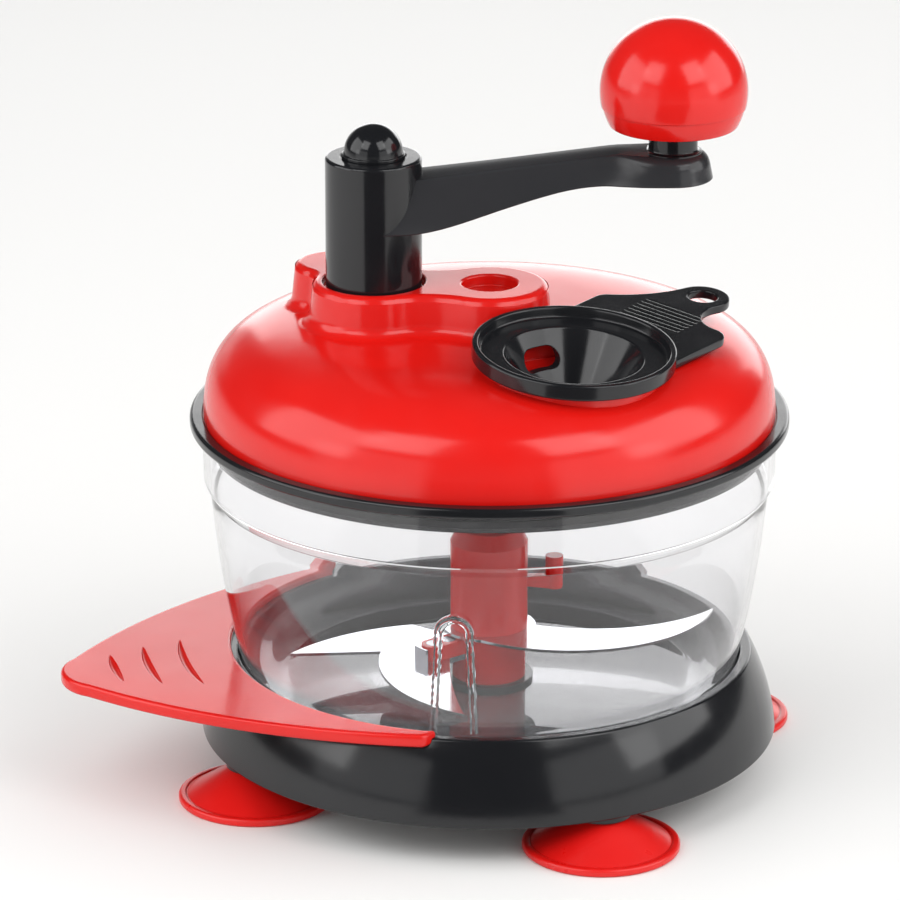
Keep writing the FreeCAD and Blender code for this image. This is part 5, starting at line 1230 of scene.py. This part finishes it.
# ---------------------------------------------------------------- crank and knob
def half_section(top, wide, high, low, top_round, skin, inner_z):
    """Half of the arm's section, from the middle of its top to the middle of its underside."""
    side = Vector((wide - top, low - high))
    points = [(0.0, high), (top * 0.4, high)]
    lean = side.angle(Vector((1, 0)))
    reach = top_round * tan(lean / 2)
    points.append((top - reach - 0.3, high))
    start = Vector((top - reach, high - top_round))
    for k in range(7):
        a = pi / 2 - lean * k / 6
        points.append((start.x + top_round * cos(a), start.y + top_round * sin(a)))
    way = side.normalized()
    out = Vector((-way.y, way.x))
    tip = Vector((wide, low))
    for k in range(5):
        share = 0.12 + 0.8 * k / 4
        first = Vector((top, high)) + way * reach
        spot = first.lerp(tip, share)
        points.append((spot.x, spot.y))
    points += [(wide - 0.05, low + 0.35), (wide - 0.3, low + 0.06), (wide - 0.7, low)]
    points += [(wide - skin, low), (wide - skin - 0.1, low + 0.2)]
    inner_top = mix(wide, top, 0.9) - skin - 0.4 if inner_z > low + 1.0 else wide - skin - 0.6
    points += [(inner_top, inner_z - 0.2), (inner_top - 0.4, inner_z), (0.0, inner_z)]
    return points


def arm_station(x):
    """The arm's half section at a distance from the hub's axis."""
    t = x / ARM_LENGTH
    low = mix(ARM_ROOT_LOW_Z, PAD_BOTTOM_Z, ease((t - 0.1) / 0.7))
    high = mix(ARM_ROOT_TOP_Z, ARM_END_TOP_Z, min(t / 0.82, 1.0))
    wide = mix(ARM_ROOT_HALF, ARM_NARROW_HALF, ease((t - 0.02) / 0.42))
    wide = mix(wide, ARM_END_HALF, ease((t - 0.6) / 0.4))
    top = mix(*ARM_TOP_HALVES, ease(t / 0.5))
    near_pad = ease((x - (ARM_LENGTH - 24.0)) / 20.0)
    wide = mix(wide, PAD_BOTTOM_R, near_pad)
    top = mix(top, PAD_TOP_R - 0.2, ease((x - (ARM_LENGTH - 20.0)) / 16.0))
    high = mix(high, PAD_TOP_Z, ease((x - (ARM_LENGTH - 26.0)) / 24.0))
    top_round = mix(*ARM_TOP_ROUNDS, ease((x - (ARM_LENGTH - 22.0)) / 16.0))
    hollow = high - 3.0 if HUB_R < x < ARM_LENGTH - 18.0 else low + 0.5
    section = half_section(top, wide, high, low, top_round, ARM_SKIN, hollow)
    return [(y, z - ARM_CROWN * (y / top) ** 2 if z > high - top_round - 0.01 else z)
            for y, z in section]


def crank():
    """The black crank: hub, drafted arm with soft edges, end pad and the knob's neck."""
    stations = []
    count = 70
    xs = [2.0 + (ARM_LENGTH - 2.0) * k / count for k in range(count + 1)]
    for x in xs:
        stations.append([(x, -y, z) for y, z in arm_station(x)])
    pad = arm_station(ARM_LENGTH)
    for k in range(1, 24):
        a = -pi / 2 + pi * k / 24
        stations.append([(ARM_LENGTH + y * cos(a), y * sin(a), z) for y, z in pad])
    for x in reversed(xs):
        stations.append([(x, y, z) for y, z in arm_station(x)])
    width = len(stations[0])
    points = [p for station in stations for p in station]
    faces = []
    for s in range(len(stations) - 1):
        for i in range(width - 1):
            a = s * width + i
            faces.append((a, a + 1, a + width + 1, a + width))
    mesh = bpy.data.meshes.new("arm")
    mesh.from_pydata(points, [], faces)
    edit = bmesh.new()
    edit.from_mesh(mesh)
    bmesh.ops.remove_doubles(edit, verts=edit.verts, dist=0.001)
    bmesh.ops.holes_fill(edit, edges=edit.edges, sides=0)
    edit.verts.index_update()
    points = [tuple(v.co) for v in edit.verts]
    faces = [tuple(v.index for v in f.verts) for f in edit.faces]
    edit.free()
    arm = mesh_object("crank_arm_body", crank_frame(points), faces)
    hub = mesh_object("crank_hub", *spin(rounded(
        [(0.0, HUB_BOTTOM_Z), (HUB_R, HUB_BOTTOM_Z, 0.6), (HUB_R, HUB_TOP_Z, 1.0),
         (HUB_WELL_R, HUB_TOP_Z, 0.3), (HUB_WELL_R, HUB_TOP_Z - 0.5), (0.0, HUB_TOP_Z - 0.5)],
        False),
        False, 128, HUB))
    end = crank_frame([(ARM_LENGTH, 0, 0)])[0]
    neck = mesh_object("crank_neck", *spin(rounded(
        [(0.0, PAD_TOP_Z - 2.0), (NECK_R + 1.5, PAD_TOP_Z - 2.0), (NECK_R + 1.5, PAD_TOP_Z),
         (NECK_R, PAD_TOP_Z + 0.15, 1.2), (NECK_R, NECK_TOP_Z, 0.4), (0.0, NECK_TOP_Z)], False),
        False, SMALL, end))
    # the arm takes the lighter copy of the black plastic: painted light on its sides
    finish_piece(smooth(arm), "crank", "black_plastic", finish="satin_black_painted_lighter")
    finish_piece(smooth(neck), "crank", "black_plastic")
    return finish_piece(smooth(hub), "crank", "black_plastic", "crank_arm")


def hub_cap():
    """The half-round cap on the hub."""
    low = HUB_TOP_Z - 0.48
    dome_low = HUB_TOP_Z + 1.2
    corners = [(0.0, low), (CAP_LIP_R, low), (CAP_LIP_R, dome_low, 0.4),
               (CAP_R + 0.05, dome_low, 0.2)]
    corners += [(CAP_R * cos(a), dome_low + CAP_R * sin(a))
                for a in (pi / 2 * k / 20 for k in range(1, 20))]
    corners.append((0.0, dome_low + CAP_R))
    return turned_piece("hub_cap_dome", rounded(corners, False), "crank", "black_plastic",
                        "hub_cap", loop=False, steps=128, centre=HUB)


def knob():
    """The red ball knob in two halves with a fine seam."""
    centre = crank_frame([(ARM_LENGTH, 0, 0)])[0]
    seam = asin((KNOB_SEAM_Z - KNOB_Z) / KNOB_R)
    outer = [(KNOB_R * cos(a), KNOB_Z + KNOB_R * sin(a))
             for a in (mix(seam, pi / 2, k / 48) for k in range(49))]
    inner_r = KNOB_R - KNOB_WALL
    inner = [(r * inner_r / KNOB_R, KNOB_Z + (z - KNOB_Z) * inner_r / KNOB_R)
             for r, z in outer]
    inner = [p for p in inner if p[1] > KNOB_SEAM_Z + 0.1]
    shell = [(outer[0][0] - KNOB_WALL, KNOB_SEAM_Z), (outer[0][0], KNOB_SEAM_Z, 0.25)]
    shell = [(0.0, inner[-1][1])] + inner[::-1][1:] + shell + outer[1:-1] + [(0.0, outer[-1][1])]
    turned_piece("knob_top", rounded(shell, False), "knob", "red_plastic", "knob_shell",
                 loop=False, steps=160, centre=centre)
    low_r = KNOB_R - 0.35
    start = asin((KNOB_BOTTOM_Z - KNOB_Z) / low_r)
    end = asin((KNOB_SEAM_Z - KNOB_Z) / low_r)
    side = [(low_r * cos(a), KNOB_Z + low_r * sin(a))
            for a in (mix(start, end, k / 12) for k in range(13))]
    floor_z = KNOB_BOTTOM_Z + KNOB_WALL
    lower = [(KNOB_BORE_R, KNOB_BOTTOM_Z), side[0] + (1.2,)] + side[2:]
    lower += [(side[-1][0] - 3.0, KNOB_SEAM_Z), (side[-1][0] - 5.0, floor_z),
              (KNOB_TUBE_R, floor_z), (KNOB_TUBE_R, KNOB_TUBE_Z), (KNOB_BORE_R, KNOB_TUBE_Z)]
    turned_piece("knob_bottom", rounded(lower, True), "knob", "red_plastic", "knob_base",
                 loop=True, steps=160, centre=centre)


# ---------------------------------------------------------------- the object
for part in frame["record"]["subparts"]:
    carried = frame["nodes"][part["node"]]
    carried.data.materials.clear()
    carried.data.materials.append(FINISH[part["material_slot"]])

base()
for cup in range(4):
    suction_cup(cup)
stay_handle()
bowl()
lid_dome()
feed_collar()
lid_plate()
separator()
crank()
hub_cap()
knob()


# ---------------------------------------------------------------- floor, light and camera
def sheet(name, corners, shade, rough, specular):
    """A flat matt sheet."""
    mesh = bpy.data.meshes.new(name)
    mesh.from_pydata(corners, [], [(0, 1, 2, 3)])
    material, tree, face = shader(name)
    feed_all(tree, face, Base_Color=shade, Roughness=rough, Specular_IOR_Level=specular)
    mesh.materials.append(material)
    return placed(name, mesh)


def softbox(name, place, look, width, height, radiance):
    """A rectangular lamp that faces a point, given by how bright it looks."""
    lamp = bpy.data.lights.new(name, "AREA")
    lamp.shape = "RECTANGLE"
    lamp.size = width
    lamp.size_y = height
    lamp.energy = radiance * width * height * LAMP_WATTS
    obj = placed(name, lamp)
    obj.location = place
    way = Vector(look) - Vector(place)
    obj.rotation_euler = way.to_track_quat("-Z", "Y").to_euler()
    obj.visible_camera = False
    obj.visible_transmission = False
    return obj


FLOOR_HALF = 8.0
FLOOR_COLOUR = (0.785, 0.78, 0.77, 1)
CARD_COLOUR = (0.03, 0.03, 0.03, 1)
CARD_CORNERS = ((0.16, -0.30, 0.002), (-0.12, -0.30, 0.002), (-1.35, -3.0, 0.002),
                (1.4, -3.0, 0.002))
LAMP_WATTS = 4.0
FILL = (0.74, 0.74, 0.74, 1)
BACKDROP = 0.92               # what the camera sees past the floor and through the bowl
ROOM_GLOW = 0.06              # what surfaces reflect where the room is dark
CAMERA_PLACE = (0.00634, -1.78574, 0.73142)
CAMERA_TILT = radians(70.83)
LENS = 226.0
SENSOR = 36.0

floor = sheet("floor", [(x * FLOOR_HALF, y * FLOOR_HALF, 0) for x, y in
                        ((-1, -1), (1, -1), (1, 1), (-1, 1))], FLOOR_COLOUR, 0.6, 0.2)
# a black card out of the picture, between the object and the camera, darkens reflections
card = sheet("card", CARD_CORNERS, CARD_COLOUR, 0.8, 0.0)
for ray in ("camera", "diffuse", "shadow", "transmission"):
    setattr(card, "visible_" + ray, False)

back = softbox("back", (0.32, 1.35, 0.36), (0.32, 0.0, 0.36), 1.36, 0.56, 1.8)
back.visible_transmission = True
back.visible_diffuse = False
unlit = bpy.data.collections.new("dark_to_back_panel")
unlit.objects.link(bpy.data.objects["crank_arm_body"])
back.light_linking.receiver_collection = unlit
for linked in unlit.collection_objects:
    linked.light_linking.link_state = "EXCLUDE"
softbox("left", (-1.66, -0.30, 0.98), (0.0, 0.0, 0.2), 1.6, 1.4, 1.8)
softbox("right", (1.66, -0.30, 0.98), (0.0, 0.0, 0.2), 1.6, 1.4, 1.9)
for name, place, width, height, radiance in (
        ("upper_left", (-0.80, -1.0, 1.28), 0.8, 0.9, 2.3),
        ("upper_right", (0.82, -1.0, 1.28), 0.8, 0.9, 2.4),
        ("low_left", (-1.08, -1.0, 0.36), 1.3, 0.62, 0.7),
        ("low_right", (1.10, -1.0, 0.36), 1.3, 0.62, 0.8)):
    panel = softbox(name, place, (0.0, 0.0, 0.15), width, height, radiance)
    panel.visible_diffuse = name.startswith("upper")
front = softbox("front", (0.0, -1.9, 0.35), (0.0, 0.0, 0.05), 2.4, 0.6, 0.6)
front.visible_glossy = False

# the camera and the clear bowl see a plain backdrop, surfaces reflect a room, the rest is fill
world = bpy.data.worlds.new("studio")
bpy.context.scene.world = world
world.use_nodes = True
sky = world.node_tree
fill = sky.nodes["Background"]
fill.inputs["Color"].default_value = FILL
where = node(sky, "ShaderNodeTexCoord").outputs["Generated"]
axes = node(sky, "ShaderNodeSeparateXYZ", Vector=where).outputs
ceiling = ramp(sky, axes["Z"], 0.12, 0.02, 0.30, 0.40)
horizon = ramp(sky, axes["Z"], 0.80, 0.0, 0.13, 0.22)
rear = ramp(sky, axes["Y"], 0.0, 1.0, 0.50, 0.80)
middle = ramp(sky, calculate(sky, "ABSOLUTE", axes["X"]), 1.0, 0.0, 0.35, 0.62)
room_light = calculate(sky, "MULTIPLY_ADD", calculate(sky, "ADD", ceiling, horizon),
                       calculate(sky, "MULTIPLY", middle, rear), ROOM_GLOW)
room = node(sky, "ShaderNodeBackground", Strength=room_light).outputs[0]
plain = node(sky, "ShaderNodeBackground", Strength=BACKDROP).outputs[0]
rays = node(sky, "ShaderNodeLightPath").outputs
reflected = mixed_shaders(sky, rays["Is Glossy Ray"], fill.outputs[0], room)
direct = calculate(sky, "MAXIMUM", rays["Is Camera Ray"], rays["Is Transmission Ray"])
world_out = next(n for n in sky.nodes if n.type == "OUTPUT_WORLD")
feed_all(sky, world_out, Surface=mixed_shaders(sky, direct, reflected, plain))

lens = bpy.data.cameras.new("camera")
lens.lens = LENS
lens.sensor_width = SENSOR
camera = placed("camera", lens)
camera.location = CAMERA_PLACE
camera.rotation_euler = (CAMERA_TILT, 0, 0)
bpy.context.scene.camera = camera
bpy.context.scene.view_settings.view_transform = "Standard"
